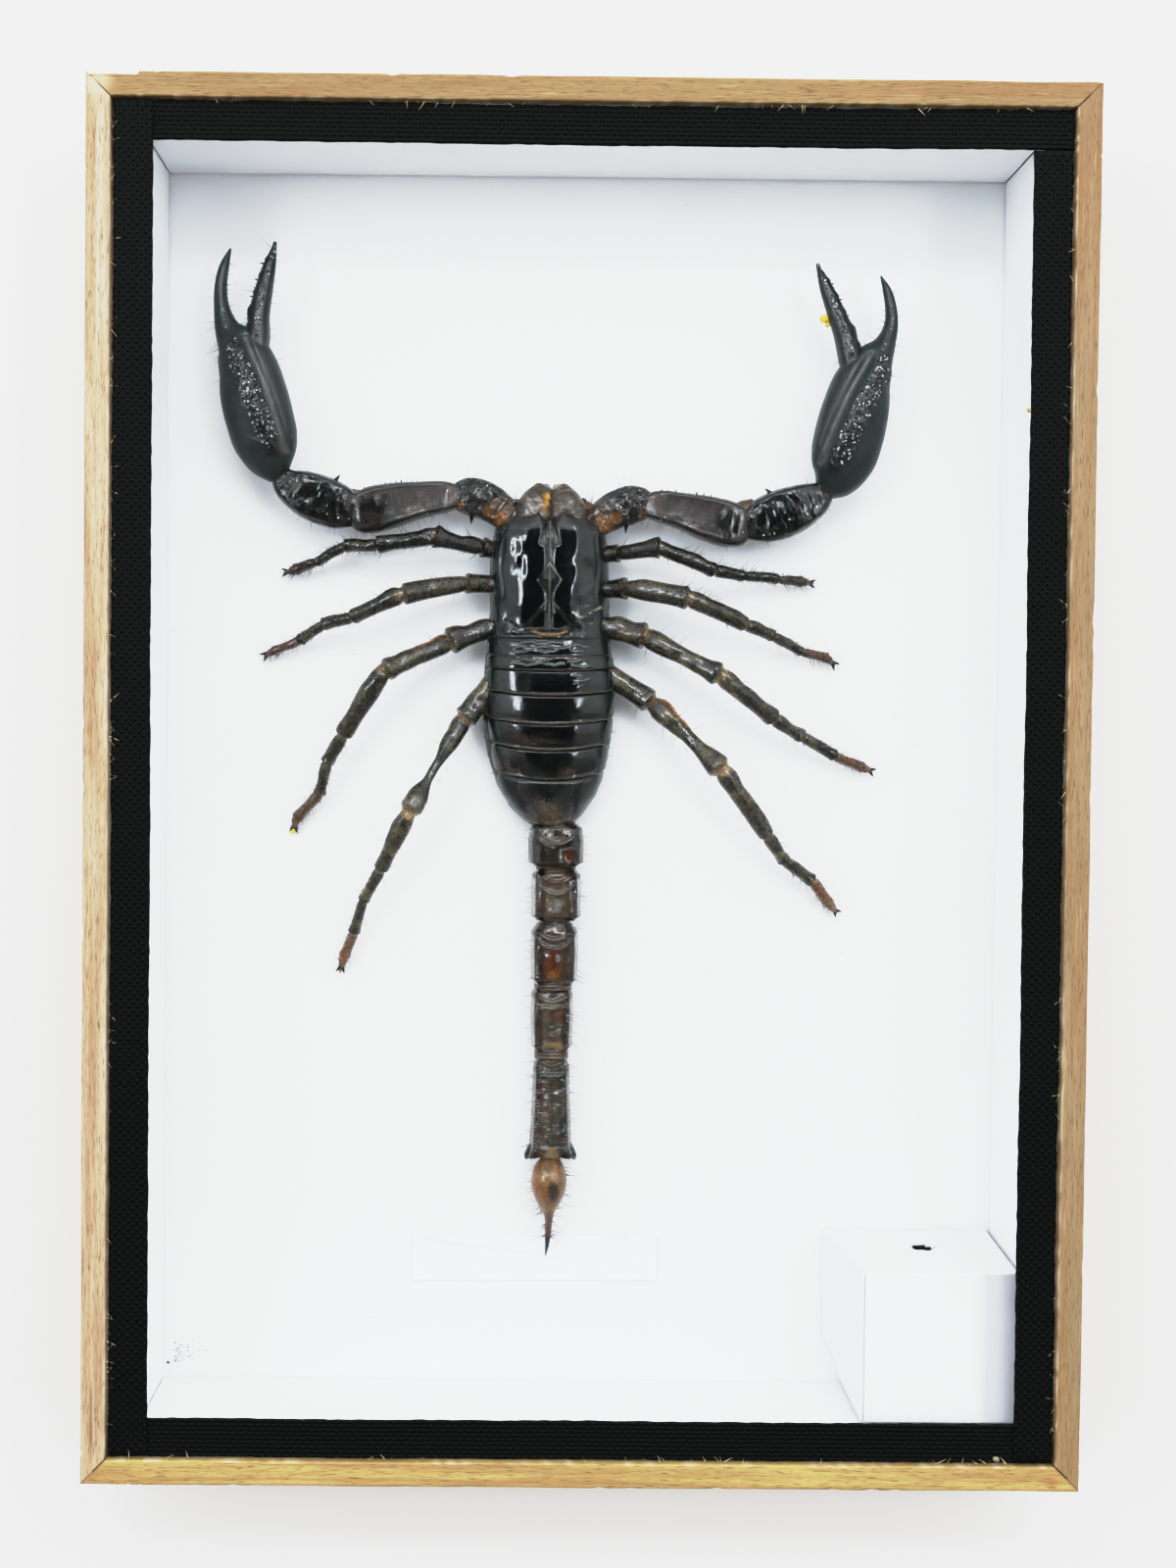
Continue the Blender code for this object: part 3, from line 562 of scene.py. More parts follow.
def addBackPlates(pot):
    ends, bows = trunk["plateEnds"], trunk["bow"]
    creases = {
        0: ((22.95, -6.6, 2.2, 0.1), (22.2, -5.6, 3.4, 0.9), (21.6, -6.2, 1.4, 1.9), (22.6, 3.6, 6.4, 0.5),
            (21.8, 3.2, 5.8, 1.4)),
        1: ((20.1, -6.3, 0.6, 0.4), (19.5, -6.8, 2.2, 1.3), (20.0, 3.0, 5.4, 0.2), (19.3, 3.4, 6.6, 1.1)),
        2: ((17.6, 3.4, 5.2, 0.4), (17.0, 3.8, 6.6, 1.5), (16.3, 3.6, 4.6, 2.6)),
    }
    for number in range(7):
        front, rear, bow = ends[number], ends[number + 1], bows[number]
        u = np.linspace(-1, 1, 111)
        v = np.linspace(0, 1, 64 if number < 2 else 54)
        corner = 0.5 * ease(0.86, 1.0, np.abs(u)) ** 1.5
        frontLine = front + (bows[max(number - 1, 0)] * (u ** 2) * 0.9) + 0.35 - corner
        rearLine = rear + bow * u ** 2 + corner
        y = frontLine * (1 - v[:, None]) + rearLine * v[:, None]
        uu, vv = np.broadcast_to(u, y.shape), np.broadcast_to(v[:, None], y.shape)
        half = trunkAt("halfWidth", y) * (1.0 if number < 6 else 0.985)
        x = uu * half
        z = trunkAt("edge", y) + 0.1 + (trunkAt("top", y) - trunkAt("edge", y)) * arch(uu)
        z -= 0.5 * ease(0.16, 0.0, vv)
        length = front - rear
        z += length * 0.034 * (1 - (2 * vv - 1.05) ** 2)
        z += 0.13 * ease(0.9, 0.965, vv) * ease(1.01, 0.985, vv)
        bead = ease(0.972, 0.988, np.abs(uu))
        z += 0.16 * bead
        flat = spotsAt(x * 0.5, y * 0.5, number * 3.1)
        wave, small = latticeNoise(flat * 0.6, 8), latticeNoise(flat * 3.2, 9)
        z += 0.16 * wave * ease(0.2, 0.45, np.abs(uu)) + 0.008 * small * (np.abs(uu) < 0.6)
        # each crease is a small fold in the shape, with a painted highlight along it
        creaseGlint = np.zeros_like(x)
        for line, low, high, phase in creases.get(number, ()):
            bent = line + 0.16 * np.sin(x * 1.5 + phase * 3) + 0.07 * np.sin(x * 4.1 + phase)
            fade = ease(low - 0.3, low + 0.5, x) * ease(high + 0.3, high - 0.5, x)
            z += 0.1 * fade * bell(y - bent, 0.2)
            creaseGlint = np.maximum(creaseGlint, fade * bell(y - bent, 0.13))
        if number == 6:
            z -= 0.5 * bell(np.abs(x) - 3.6, 1.0) * ease(-1.5, -3.5, y)
            z += 0.3 * bell(x, 1.7) * ease(-2.0, -4.0, y)
            for sx in (-3.2, 3.3):
                z += 0.4 * np.exp(-((x - sx) ** 2 + (y + 3.6) ** 2) / 0.2)
        # the flanks are painted grey-green, partly the shell's own tint and partly a painted reflection of
        # the room
        tones = paintOver(toneOf("black"), (0.6 * ease(0.55, 0.8, np.abs(uu)), "greyGreen"))
        brown = {4: 0.4, 5: 0.7, 6: 1.0}.get(number, 0.0)
        if brown:
            cloud = ease(-0.25, 0.45, latticeNoise(flat * 1.1, 31))
            tones = paintOver(tones, (brown * cloud * ease(0.25, 0.6, vv), "mauve"))
        if number == 4:
            smudge = ease(1.2, 0.2, np.hypot((x + 0.6) / 3.6, (y - 6.9) / 0.8))
            tones = paintOver(tones, (0.5 * smudge, "mauve"))
        if number == 6:
            tones = paintOver(tones, (0.4 * bell(x, 1.8) * ease(-2.6, -4.0, y), "tan"))
        ragged = latticeNoise(spotsAt(x * 1.7, y * 0.2, number), 10)
        lip = ease(0.955 + 0.02 * ragged, 0.985 + 0.01 * ragged, vv)
        tones = paintOver(
            tones,
            ((0.6 if number < 2 else 0.75) * lip * (0.6 + 0.4 * ragged), "tan"),
            (0.6 * bead, "rim"),
            (0.55 * creaseGlint, "paintedGlint"))
        blotched = 0.6 * ease(0.45, 0.7, np.abs(uu)) + trunk["blotches"][number]
        gloss = 0.12 + 0.10 * ease(0.6, 0.85, np.abs(uu)) + (0.14 if number == 6 else 0.0)
        finishes = spotsAt(gloss, blotched, 0.65 if number == 6 else 0.15)
        grid = np.stack([x + trunkAt("middle", y), y, z + floorTop], -1)
        pot.addPlate(grid, tones, finishes, 0.32)


softBody = {
    "stations": (43.6, 40.0, 33.0, 25.0, 20.0, 15.0, 12.6, 8.5, 4.4, 0.3, -3.9, -5.9, -7.4),
    "middle": (-5.7, -5.7, -5.7, -5.7, -5.8, -5.85, -5.85, -5.9, -5.75, -5.65, -5.6, -5.3, -4.6),
    "halfWidth": (6.5, 8.8, 9.5, 10.0, 10.45, 10.8, 10.85, 10.6, 9.8, 8.65, 6.2, 4.35, 3.0),
    "top": (6.6, 7.4, 7.8, 7.8, 8.2, 8.6, 8.8, 8.6, 8.0, 7.2, 6.6, 6.4, 6.0),
}


def addSoftBody(pot):
    y = np.linspace(softBody["stations"][0], softBody["stations"][-1], 150)
    stations = [-s for s in softBody["stations"]]
    middle, half, top = (
        np.interp(-y, stations, softBody[k])[:, None] for k in ("middle", "halfWidth", "top"))
    turn = np.linspace(0, math.tau, 72, endpoint=False)
    across, rise = np.cos(turn), np.sin(turn)
    across = np.sign(across) * np.abs(across) ** 0.8
    rise = np.where(rise > 0, np.abs(rise) ** 0.85, -np.abs(rise) ** 0.6)
    x = across * half
    z = 3.4 + np.where(rise > 0, rise * (top - 3.4), rise * 2.9)
    yy = np.broadcast_to(y[:, None], x.shape)
    spots = spotsAt(x * 0.8, yy * 2.2, z * 0.8)
    fold = latticeNoise(spots, 15) + 0.5 * latticeNoise(spots * 2.3, 16)
    x = x * (1 + 0.012 * fold) + middle
    z = z + 0.12 * fold * (rise > 0)
    tones = paintOver(toneOf("black"), (ease(0.0, 1.2, fold) * 0.35, "olive"))
    pot.addRings(np.stack([x, yy, z + floorTop], -1), tones, (0.38, 0.6, 1.0))


trunkPot = MeshPot()
addCarapace(trunkPot)
addBackPlates(trunkPot)
addSoftBody(trunkPot)
trunkPot.build("scorpionTrunk", glossShell, "shell", ("scorpion",))
print("trunk ready")


# tail: five keeled rings, the soft joints between them, the bulb and the sting
tail = {
    "rings": (
        {"y": (-6.2, -13.35), "widths": (8.2, 9.2, 9.0), "x": -4.3,
         "tone": "black", "warmth": 0.15, "arcs": (-9.7,)},
        {"y": (-13.75, -22.3), "widths": (8.0, 8.3, 8.2), "x": -4.2,
         "tone": "deep", "warmth": 0.9, "arcs": (-16.0, -17.9)},
        {"y": (-22.85, -32.85), "widths": (7.6, 8.0, 7.6), "x": -4.4,
         "tone": "deep", "warmth": 0.45, "arcs": (-25.4, -26.9)},
        {"y": (-33.05, -44.0), "widths": (6.8, 7.1, 6.6), "x": -4.7,
         "tone": "deep", "warmth": 0.8, "arcs": (-35.9, -36.7)},
        {"y": (-44.3, -61.7), "widths": (5.9, 6.2, 7.2), "x": -4.7,
         "tone": "black", "warmth": 0.3, "arcs": (-46.4, -47.9)},
    ),
    "underside": 0.5, "heightShare": 0.95, "crenel": 0.55,
    # the palest patches, over the small domes, are painted highlights
    "patches": (  # ring, x, y, half sizes, tone, strength
        (0, -2.2, -11.4, 0.8, 1.2, "redBrown", 0.7), (0, -3.9, -8.9, 1.9, 0.7, "olive", 0.9),
        (1, -3.9, -15.5, 2.0, 0.8, "brown", 0.9), (1, -4.0, -19.8, 0.9, 1.3, "paintedGlint", 0.6),
        (1, -5.7, -19.3, 0.9, 1.3, "redBrown", 0.35), (1, -2.0, -19.8, 0.8, 1.4, "olive", 0.8),
        (1, -4.2, -21.6, 2.2, 0.6, "mauve", 0.5), (2, -4.6, -29.6, 1.6, 2.8, "redBrown", 1.0),
        (2, -4.5, -31.2, 1.0, 1.0, "amber", 0.55), (2, -3.7, -28.4, 0.34, 0.7, "paintedGlint", 0.9),
        (2, -2.2, -28.6, 0.8, 1.8, "brown", 0.7), (2, -6.4, -32.0, 0.9, 0.7, "mauve", 0.6),
        (2, -4.4, -24.4, 1.9, 0.7, "brown", 0.8), (3, -4.4, -34.8, 1.7, 1.1, "mauve", 0.8),
        (3, -3.6, -38.0, 1.4, 1.6, "redBrown", 0.4), (3, -4.9, -39.6, 1.7, 1.6, "olive", 0.75),
        (3, -4.7, -40.9, 0.5, 0.5, "paintedGlint", 0.5), (3, -4.85, -39.8, 0.22, 0.35, "paintedGlint", 0.8),
        (3, -4.7, -43.0, 2.1, 1.0, "tan", 0.75),
        (3, -4.7, -41.9, 1.9, 0.6, "mauve", 0.6), (4, -4.9, -45.2, 1.7, 0.8, "tan", 0.7),
        (4, -4.9, -48.3, 0.45, 1.2, "mauve", 0.8), (4, -4.7, -55.5, 1.8, 4.5, "olive", 0.45),
        (4, -4.5, -60.6, 1.2, 1.1, "tan", 0.8),
    ),
    "beads": (  # small domes that catch the light: x, y, radius, height
        (-3.05, -13.0, 0.75, 0.3), (-4.6, -12.0, 0.3, 0.16), (-3.7, -28.6, 0.35, 0.14),
        (-4.85, -39.9, 0.26, 0.15), (-4.7, -40.9, 0.32, 0.12), (-4.5, -42.0, 0.2, 0.1),
        (-5.6, -52.9, 0.34, 0.2), (-3.55, -52.9, 0.34, 0.2), (-5.5, -54.6, 0.2, 0.12),
        (-4.95, -52.3, 0.2, 0.1),
    ),
    "facets": (  # bright folds on the first ring
        ((-7.1, -9.1), (-5.4, -10.2), (-4.4, -10.9), (-4.6, -12.5)),
        ((-3.1, -12.2), (-3.1, -10.7), (-1.8, -10.3), (-1.2, -11.2), (-1.4, -12.7)),
    ),
}


def boxyRing(count, power):
    turn = np.linspace(0, math.tau, count, endpoint=False)
    across, rise = np.cos(turn), np.sin(turn)
    return np.sign(across) * np.abs(across) ** power, np.sign(rise) * np.abs(rise) ** power


def addTailRing(pot, number, spec):
    front, rear = spec["y"]
    length = front - rear
    rows = int(length / 0.085)
    v = np.linspace(0, 1, rows)
    v = np.concatenate([[0, 0.004, 0.012], v[1:-1], [0.992, 1]])
    y = front - length * v
    width = np.interp(v, (0, 0.4, 1), spec["widths"])
    shoulder = 0.74 + 0.26 * ease(-0.02, 0.16, v)
    if number < 4:
        shoulder = shoulder - 0.2 * ease(0.9, 1.0, v)
    else:
        shoulder = shoulder * (1 + 0.10 * ease(0.86, 0.97, v)) - 0.25 * ease(0.985, 1.0, v)
    half = width / 2 * shoulder
    tallest = max(spec["widths"]) * tail["heightShare"] / 2
    high = np.minimum(half, max(spec["widths"]) / 2) * tail["heightShare"]
    ringX, ringZ = boxyRing(96, 0.66)
    x = half[:, None] * ringX
    z = high[:, None] * ringZ
    yy = np.broadcast_to(y[:, None], x.shape)
    share = x / (half[:, None] + 1e-9)
    upper = ease(0.25, 0.6, ringZ) * np.ones_like(x)
    side = np.abs(share)
    if number == 4:  # spurs at the rear corners and a lobe between them
        yy = yy + 1.1 * bell(side - 0.6, 0.17) * ease(0.86, 1.0, v)[:, None]
    z = z - upper * 0.5 * ease(0.72, 0.0, side) * ease(0.0, 0.15, v)[:, None]
    keel = bell(side - 0.86, 0.08) * upper
    z += 0.3 * keel
    tooth = 0.5 + 0.5 * np.sin(yy * math.tau / tail["crenel"] + 1.3 * np.sign(share))
    z += 0.1 * tooth * bell(side - 0.76, 0.05) * upper
    beam = ease(0.93, 1.0, side) * bell(ringZ - 0.35, 0.4)
    ragged = 0.022 + (0.09 * ease(0.84, 0.95, v)[:, None] if number == 4 else 0.0)
    x = x * (1 + ragged * (tooth - 0.4) * beam)
    # each arc is a ridge and step in the shape, with a painted highlight along its crest
    arcGlint = np.zeros_like(x)
    for k, arc in enumerate(spec["arcs"]):
        bend = arc + (0.19 if number < 3 else 0.24) * x ** 2 * (1.0 if k else 0.9)
        if number >= 3:
            bend = arc + 0.42 * np.abs(x) * (1 if k == 0 else 0.15) + 0.1 * np.sin(x * 4.2) * k
        inside = ease(0.8, 0.66, side) * upper
        z += 0.2 * bell(yy - bend, 0.2) * inside
        z -= 0.2 * ease(-0.1, 0.7, yy - bend) * inside
        arcGlint = np.maximum(arcGlint, bell(yy - bend, 0.12) * inside)
    for fx, fy, radius, rise in tail["beads"]:
        z += rise * upper * np.exp(-((x + spec["x"] - fx) ** 2 + (yy - fy) ** 2) / radius ** 2)
    if number == 0:
        for line in tail["facets"]:
            z += 0.24 * upper * ridgeAlong(x + spec["x"], yy, line, 0.17)
    spots = spotsAt(x * 1.1, yy * 1.1, z * 1.1 + number * 7)
    lump, grain = latticeNoise(spots, 21), latticeNoise(spots * 4.0, 22)
    rough = 1.0 if number == 4 else 0.35
    z += 0.09 * lump + 0.05 * rough * grain * ease(0.2, -0.1, keel - 0.3)
    cloud = latticeNoise(spots * 0.7, 23)
    tones = paintOver(
        toneOf(spec["tone"]),
        (0.75 * spec["warmth"] * upper * ease(0.72, 0.3, side), "warm"),
        ((0.75 if number else 0.4) * ease(-0.3, 0.6, cloud + 0.3 * lump) * upper, "brown"),
        (0.3 * ease(0.2, 0.8, lump) * upper, "olive"))
    for ring, px, py, rx, ry, tone, strength in tail["patches"]:
        if ring == number:
            gap = np.hypot((x + spec["x"] - px) / rx, (yy - py) / ry) + 0.18 * lump
            tones = paintOver(tones, (strength * upper * ease(1.15, 0.55, gap), tone))
    inner = bell(side - 0.68, 0.05 + 0.05 * tooth) * upper
    # the pale band on each flank is a painted reflection of the room's light
    band = ease(0.79, 0.86, side) * ease(-0.2, 0.1, ringZ)
    band = band * ease(0.1, 0.25, v)[:, None] * ease(0.97, 0.85, v)[:, None]
    tones = paintOver(
        tones,
        (0.6 * arcGlint * ease(-0.7, 0.2, lump), "paintedGlint"),
        (0.85 * inner, "deep"),
        ((0.2975, 0.85, 0.85, 0.85, 0.6)[number] * band, "paintedFlankSheen"))
    finishes = spotsAt(0.2 + 0.15 * band + (0.14 if number == 4 else 0.0), 0.5, 0.5 + 0.5 * rough)
    centre = tail["underside"] + tallest
    grid = np.stack([x + spec["x"], yy, z + centre + floorTop], -1)
    pot.addRings(grid, tones, finishes)


def addSoftJoint(pot, start, end, width, x, height):
    y = np.linspace(start, end, 40)
    ringX, ringZ = boxyRing(48, 0.85)
    fold = 1 + 0.02 * np.sin(np.linspace(0, 7.5 * math.pi, 40))
    half = width / 2 * fold
    xx = half[:, None] * ringX
    zz = half[:, None] * 0.92 * ringZ
    yy = np.broadcast_to(y[:, None], xx.shape)
    lump = latticeNoise(spotsAt(xx * 1.4, yy * 2.0, zz), 33)
    tones = paintOver(
        toneOf("brown"),
        (ease(0.1, 0.8, lump) * 0.4, "tan"),
        (ease(-0.4, 0.5, -lump) * 0.85, "black"))
    grid = np.stack([xx + x, yy, zz * (1 + 0.03 * lump) + height + floorTop], -1)
    pot.addRings(grid, tones, [0.35, 0.5, 0.8])


bulb = {
    "stations": (  # y, width, depth, middle height, middle x
        (-60.9, 2.6, 2.8, 4.6, -4.75), (-61.9, 3.4, 3.5, 4.6, -4.8), (-62.9, 4.7, 4.6, 4.7, -4.85),
        (-64.2, 5.6, 5.5, 4.8, -4.9), (-65.8, 5.9, 5.8, 4.8, -4.9), (-67.6, 5.3, 5.2, 4.7, -4.9),
        (-69.4, 3.6, 3.7, 4.6, -4.9), (-70.9, 1.9, 2.2, 4.4, -4.85), (-72.4, 1.3, 1.5, 4.2, -4.85),
        (-74.6, 1.05, 1.15, 3.8, -4.95), (-76.6, 0.75, 0.8, 3.2, -5.05), (-78.0, 0.4, 0.42, 2.5, -5.2),
        (-78.9, 0.1, 0.1, 1.9, -5.3),
    ),
}


def smoothTable(table, count):
    # a smooth curve through the rows of a table, by its length in the first columns
    table = np.asarray(table, float)
    step = np.linalg.norm(np.diff(table[:, :3], axis=0), axis=1)
    spot = np.concatenate([[0], np.cumsum(step)])
    slope = np.gradient(table, spot, axis=0)
    t = np.linspace(0, spot[-1], count)
    k = np.clip(np.searchsorted(spot, t, side="right") - 1, 0, len(spot) - 2)
    h = (spot[k + 1] - spot[k])[:, None]
    s = ((t - spot[k]) / (spot[k + 1] - spot[k]))[:, None]
    first = (2 * s ** 3 - 3 * s ** 2 + 1) * table[k] + (s ** 3 - 2 * s ** 2 + s) * h * slope[k]
    second = (-2 * s ** 3 + 3 * s ** 2) * table[k + 1] + (s ** 3 - s ** 2) * h * slope[k + 1]
    return first + second


def addBulb(pot):
    rows = smoothTable([(x, y, z, w, d) for y, w, d, z, x in bulb["stations"]], 190)
    x0, y0, z0, width, depth = rows.T
    ringX, ringZ = boxyRing(56, 0.95)
    x = np.maximum(width, 0.06)[:, None] / 2 * ringX
    z = np.maximum(depth, 0.06)[:, None] / 2 * ringZ
    y = np.broadcast_to(y0[:, None], x.shape)
    upper = ease(0.0, 0.5, ringZ) * np.ones_like(x)
    spots = spotsAt(x, y, z) * 0.9
    lump = latticeNoise(spots, 41) + 0.4 * latticeNoise(spots * 3, 42)
    z -= 0.25 * upper * bell(x, 0.5) * ease(-64.2, -63.0, y)
    ochre = ease(1.2, 0.5, np.hypot((x + 0.1) / 2.3, (y + 64.6) / 1.4))
    notch = ease(1.1, 0.5, np.hypot(x / (0.25 + 0.9 * ease(-64.0, -62.6, y)), (y + 63.1) / 1.0))
    patch = ease(1.3, 0.6, np.hypot((x - 0.8) / 0.9, (y + 67.0) / 1.9) + 0.25 * lump)
    tones = paintOver(
        toneOf("amber") * 0.6 + toneOf("tan") * 0.2,
        (ease(-0.2, 0.7, lump) * 0.5, "brown"),
        (ochre * 0.75, "tan"),
        (notch * 0.6, "brown"),
        (patch * upper * 0.85, "greyGreen"),
        (ease(0.72, 0.9, x / (width[:, None] / 2 + 1e-6)) * 0.7, "grey"),
        (ease(-70.0, -71.5, y), "sting"),
        (ease(-74.0, -75.5, y), "black"))
    grid = np.stack([x + x0[:, None], y, z + z0[:, None] + floorTop], -1)
    pot.addRings(grid, tones, (0.3, 0.25, 0.6))


def addTailWings(pot):
    # the flared ends of the last ring, with a small spur at each side
    for sign in (-1, 1):
        base = np.array([-4.7 + sign * 2.7, -59.4, 5.2])
        tip = np.array([-4.7 + sign * 4.15, -62.0, 4.7])
        rows = smoothTable([(*base, 1.6, 2.6), (*(base * 0.5 + tip * 0.5), 1.5, 2.3),
                            (*(base * 0.2 + tip * 0.8), 1.1, 1.6), (*tip, 0.15, 0.2)], 24)
        addTube(pot, rows, 20, 0.8, "greyGreen", (0.35, 0.4, 0.9))
        small = np.array([-4.7 + sign * 3.2, -62.1, 4.6])
        rows = smoothTable([(*(base * 0.4 + small * 0.6), 0.9, 1.2), (*small, 0.12, 0.12)], 10)
        addTube(pot, rows, 12, 0.9, "olive", (0.35, 0.4, 0.9))


def tubeGrid(rows, columns, power):
    # rows: x, y, height, width, thickness; rings stand square to the path
    rows = np.asarray(rows, float)
    along = np.gradient(rows[:, :3], axis=0)
    along /= np.linalg.norm(along, axis=1)[:, None] + 1e-12
    across = np.cross(along, [0, 0, 1.0])
    across /= np.linalg.norm(across, axis=1)[:, None] + 1e-12
    upward = np.cross(across, along)
    ringX, ringZ = boxyRing(columns, power)
    place = rows[:, None, :3] + across[:, None, :] * (rows[:, 3, None] / 2 * ringX)[..., None]
    place = place + upward[:, None, :] * (rows[:, 4, None] / 2 * ringZ)[..., None]
    return place, ringX, ringZ


def addTube(pot, rows, columns, power, tone, finish):
    grid = tubeGrid(rows, columns, power)[0]
    grid[..., 2] += 0.03 * (latticeNoise(grid, 50) + 0.5 * latticeNoise(grid * 2.7, 51))
    grid[..., 2] += floorTop
    pot.addRings(grid, toneOf(tone), finish)


tailPot = MeshPot()
for ringNumber, ringSpec in enumerate(tail["rings"]):
    addTailRing(tailPot, ringNumber, ringSpec)
for jointStart, jointEnd, jointWidth, jointX, jointHeight in (
        (-5.0, -8.0, 6.4, -4.5, 4.7), (-12.6, -14.6, 6.5, -4.25, 4.4), (-21.6, -23.8, 5.0, -4.3, 4.3),
        (-32.0, -34.0, 6.2, -4.55, 4.0), (-43.2, -45.3, 5.6, -4.7, 3.8), (-60.6, -62.4, 3.3, -4.75, 4.6)):
    addSoftJoint(tailPot, jointStart, jointEnd, jointWidth, jointX, jointHeight)
addTailWings(tailPot)
addBulb(tailPot)
tailPot.build("scorpionTail", tailShell, "shell", ("scorpion",))
print("tail ready")


# the rows of an arm: x, y, height over the sheet, width, thickness
arms = {
    "left": {
        "hand": (
            (-49.9, 49.2, 7.4, 3.0, 3.0), (-50.9, 51.6, 7.8, 7.4, 5.4), (-51.8, 54.6, 8.2, 10.2, 7.0),
            (-52.9, 58.6, 8.6, 11.0, 7.8), (-53.9, 62.6, 8.8, 10.9, 7.8), (-54.8, 66.6, 8.8, 9.7, 7.0),
            (-56.3, 70.2, 8.7, 7.8, 5.4), (-58.2, 73.0, 8.5, 4.3, 3.8), (-59.2, 76.4, 8.3, 2.6, 2.9),
            (-59.4, 80.2, 8.1, 2.0, 2.3), (-58.8, 83.6, 8.0, 1.5, 1.7), (-57.9, 86.1, 7.9, 0.3, 0.3),
        ),
        "finger": (
            (-53.6, 67.0, 8.6, 3.0, 4.0), (-53.3, 71.4, 8.8, 3.9, 4.2), (-53.1, 75.4, 8.6, 3.4, 3.6),
            (-52.4, 79.6, 8.4, 2.9, 2.9), (-51.5, 83.6, 8.2, 2.0, 2.0), (-50.6, 87.2, 8.1, 0.4, 0.4),
        ),
        "patella": (
            (-50.2, 50.2, 7.4, 2.8, 2.6), (-48.4, 48.4, 7.3, 5.4, 4.6), (-45.6, 46.9, 7.2, 7.4, 5.8),
            (-42.0, 45.5, 7.0, 7.9, 6.0), (-39.4, 44.5, 6.8, 6.9, 5.4), (-36.8, 43.4, 6.6, 3.8, 3.4),
        ),
        "femur": (
            (-38.6, 43.5, 6.6, 3.4, 3.2), (-37.4, 43.7, 6.6, 6.0, 4.6), (-35.6, 44.2, 6.6, 7.3, 5.2),
            (-31.6, 45.2, 6.6, 7.2, 5.4), (-26.6, 46.2, 6.5, 5.8, 5.0), (-22.6, 46.7, 6.3, 4.9, 4.4),
            (-20.2, 46.7, 6.1, 3.4, 3.2),
        ),
        "coxa": (
            (-22.0, 46.9, 6.1, 3.4, 3.0), (-20.6, 46.9, 6.0, 5.2, 4.2), (-18.6, 46.8, 5.8, 6.3, 4.7),
            (-16.0, 46.0, 5.5, 6.2, 4.7), (-13.2, 44.2, 5.2, 5.4, 4.3), (-9.8, 41.6, 4.8, 4.4, 3.4),
        ),
        "band": ((-57.4, 70.6), (-55.6, 66.4), (-53.4, 61.0), (-50.4, 53.6)),
        "groove": ((-55.2, 71.2), (-52.9, 66.0), (-50.3, 59.0), (-48.6, 53.6)),
        "teethEdge": ((-37.4, 47.4, 8.3), (-34.4, 48.3, 8.5), (-30.4, 49.2, 8.4), (-26.0, 49.0, 8.2),
                      (-22.4, 48.9, 8.0)),
        "spurs": (((-41.9, 47.4, 8.2), (-39.9, 50.0, 8.0), 1.9),
                  ((-18.5, 44.9, 6.6), (-18.7, 42.3, 6.2), 1.4)),
        "membrane": ((-39.4, 46.0, 6.4, 4.4, 4.0), (-37.6, 45.2, 6.4, 5.2, 4.2),
                     (-35.8, 44.8, 6.4, 4.6, 4.0)),
    },
    "right": {
        "hand": (
            (38.5, 47.8, 7.4, 3.0, 3.0), (40.0, 49.8, 7.8, 7.4, 5.4), (41.3, 52.8, 8.2, 10.3, 7.0),
            (42.4, 57.0, 8.6, 11.2, 7.8), (43.4, 61.4, 8.8, 10.8, 7.8), (44.4, 65.4, 8.8, 9.4, 7.0),
            (46.1, 68.8, 8.7, 7.0, 5.4), (48.0, 71.8, 8.5, 3.6, 3.6), (49.0, 74.9, 8.3, 2.3, 2.7),
            (49.0, 77.6, 8.1, 1.9, 2.1), (48.3, 80.6, 8.0, 1.4, 1.5), (47.3, 82.9, 7.9, 0.3, 0.3),
        ),
        "finger": (
            (43.4, 64.8, 8.6, 3.2, 4.0), (42.6, 69.0, 8.8, 4.1, 4.2), (41.4, 73.2, 8.6, 3.5, 3.6),
            (39.9, 77.2, 8.4, 2.9, 2.9), (38.2, 81.4, 8.2, 2.0, 2.0), (36.9, 84.7, 8.1, 0.4, 0.4),
        ),
        "patella": (
            (39.4, 48.8, 7.4, 2.8, 2.6), (37.6, 47.2, 7.3, 5.4, 4.6), (34.8, 45.6, 7.2, 7.4, 5.8),
            (31.0, 44.1, 7.0, 8.1, 6.0), (28.2, 43.1, 6.8, 7.1, 5.4), (25.2, 42.2, 6.6, 3.8, 3.4),
        ),
        "femur": (
            (26.8, 42.0, 6.6, 3.4, 3.2), (25.6, 42.1, 6.6, 6.0, 4.6), (24.0, 42.5, 6.6, 7.2, 5.2),
            (20.2, 43.5, 6.6, 7.3, 5.4), (15.4, 44.8, 6.5, 5.9, 5.0), (11.4, 45.6, 6.3, 4.9, 4.4),
            (9.2, 45.7, 6.1, 3.4, 3.2),
        ),
        "coxa": (
            (11.0, 45.9, 6.1, 3.4, 3.0), (9.6, 45.9, 6.0, 5.2, 4.2), (7.6, 45.8, 5.8, 6.3, 4.7),
            (5.0, 45.0, 5.5, 6.2, 4.7), (2.2, 43.3, 5.2, 5.4, 4.3), (-1.2, 41.0, 4.8, 4.4, 3.4),
        ),
        "band": ((48.1, 70.0), (46.6, 65.4), (43.6, 60.0), (39.6, 51.6)),
        "groove": ((45.4, 69.6), (42.3, 64.2), (39.6, 58.4), (37.6, 52.6)),
        "teethEdge": ((22.6, 46.0, 8.3), (19.2, 46.9, 8.5), (15.0, 47.7, 8.4), (11.6, 47.8, 8.2)),
        "spurs": (((31.4, 46.4, 8.2), (28.9, 48.5, 8.0), 1.9), ((6.7, 44.0, 6.6), (6.5, 41.0, 6.2), 1.4)),
        "membrane": ((27.9, 45.0, 6.4, 4.4, 4.0), (26.2, 44.2, 6.4, 5.2, 4.2), (24.4, 43.6, 6.4, 4.6, 4.0)),
    },
}


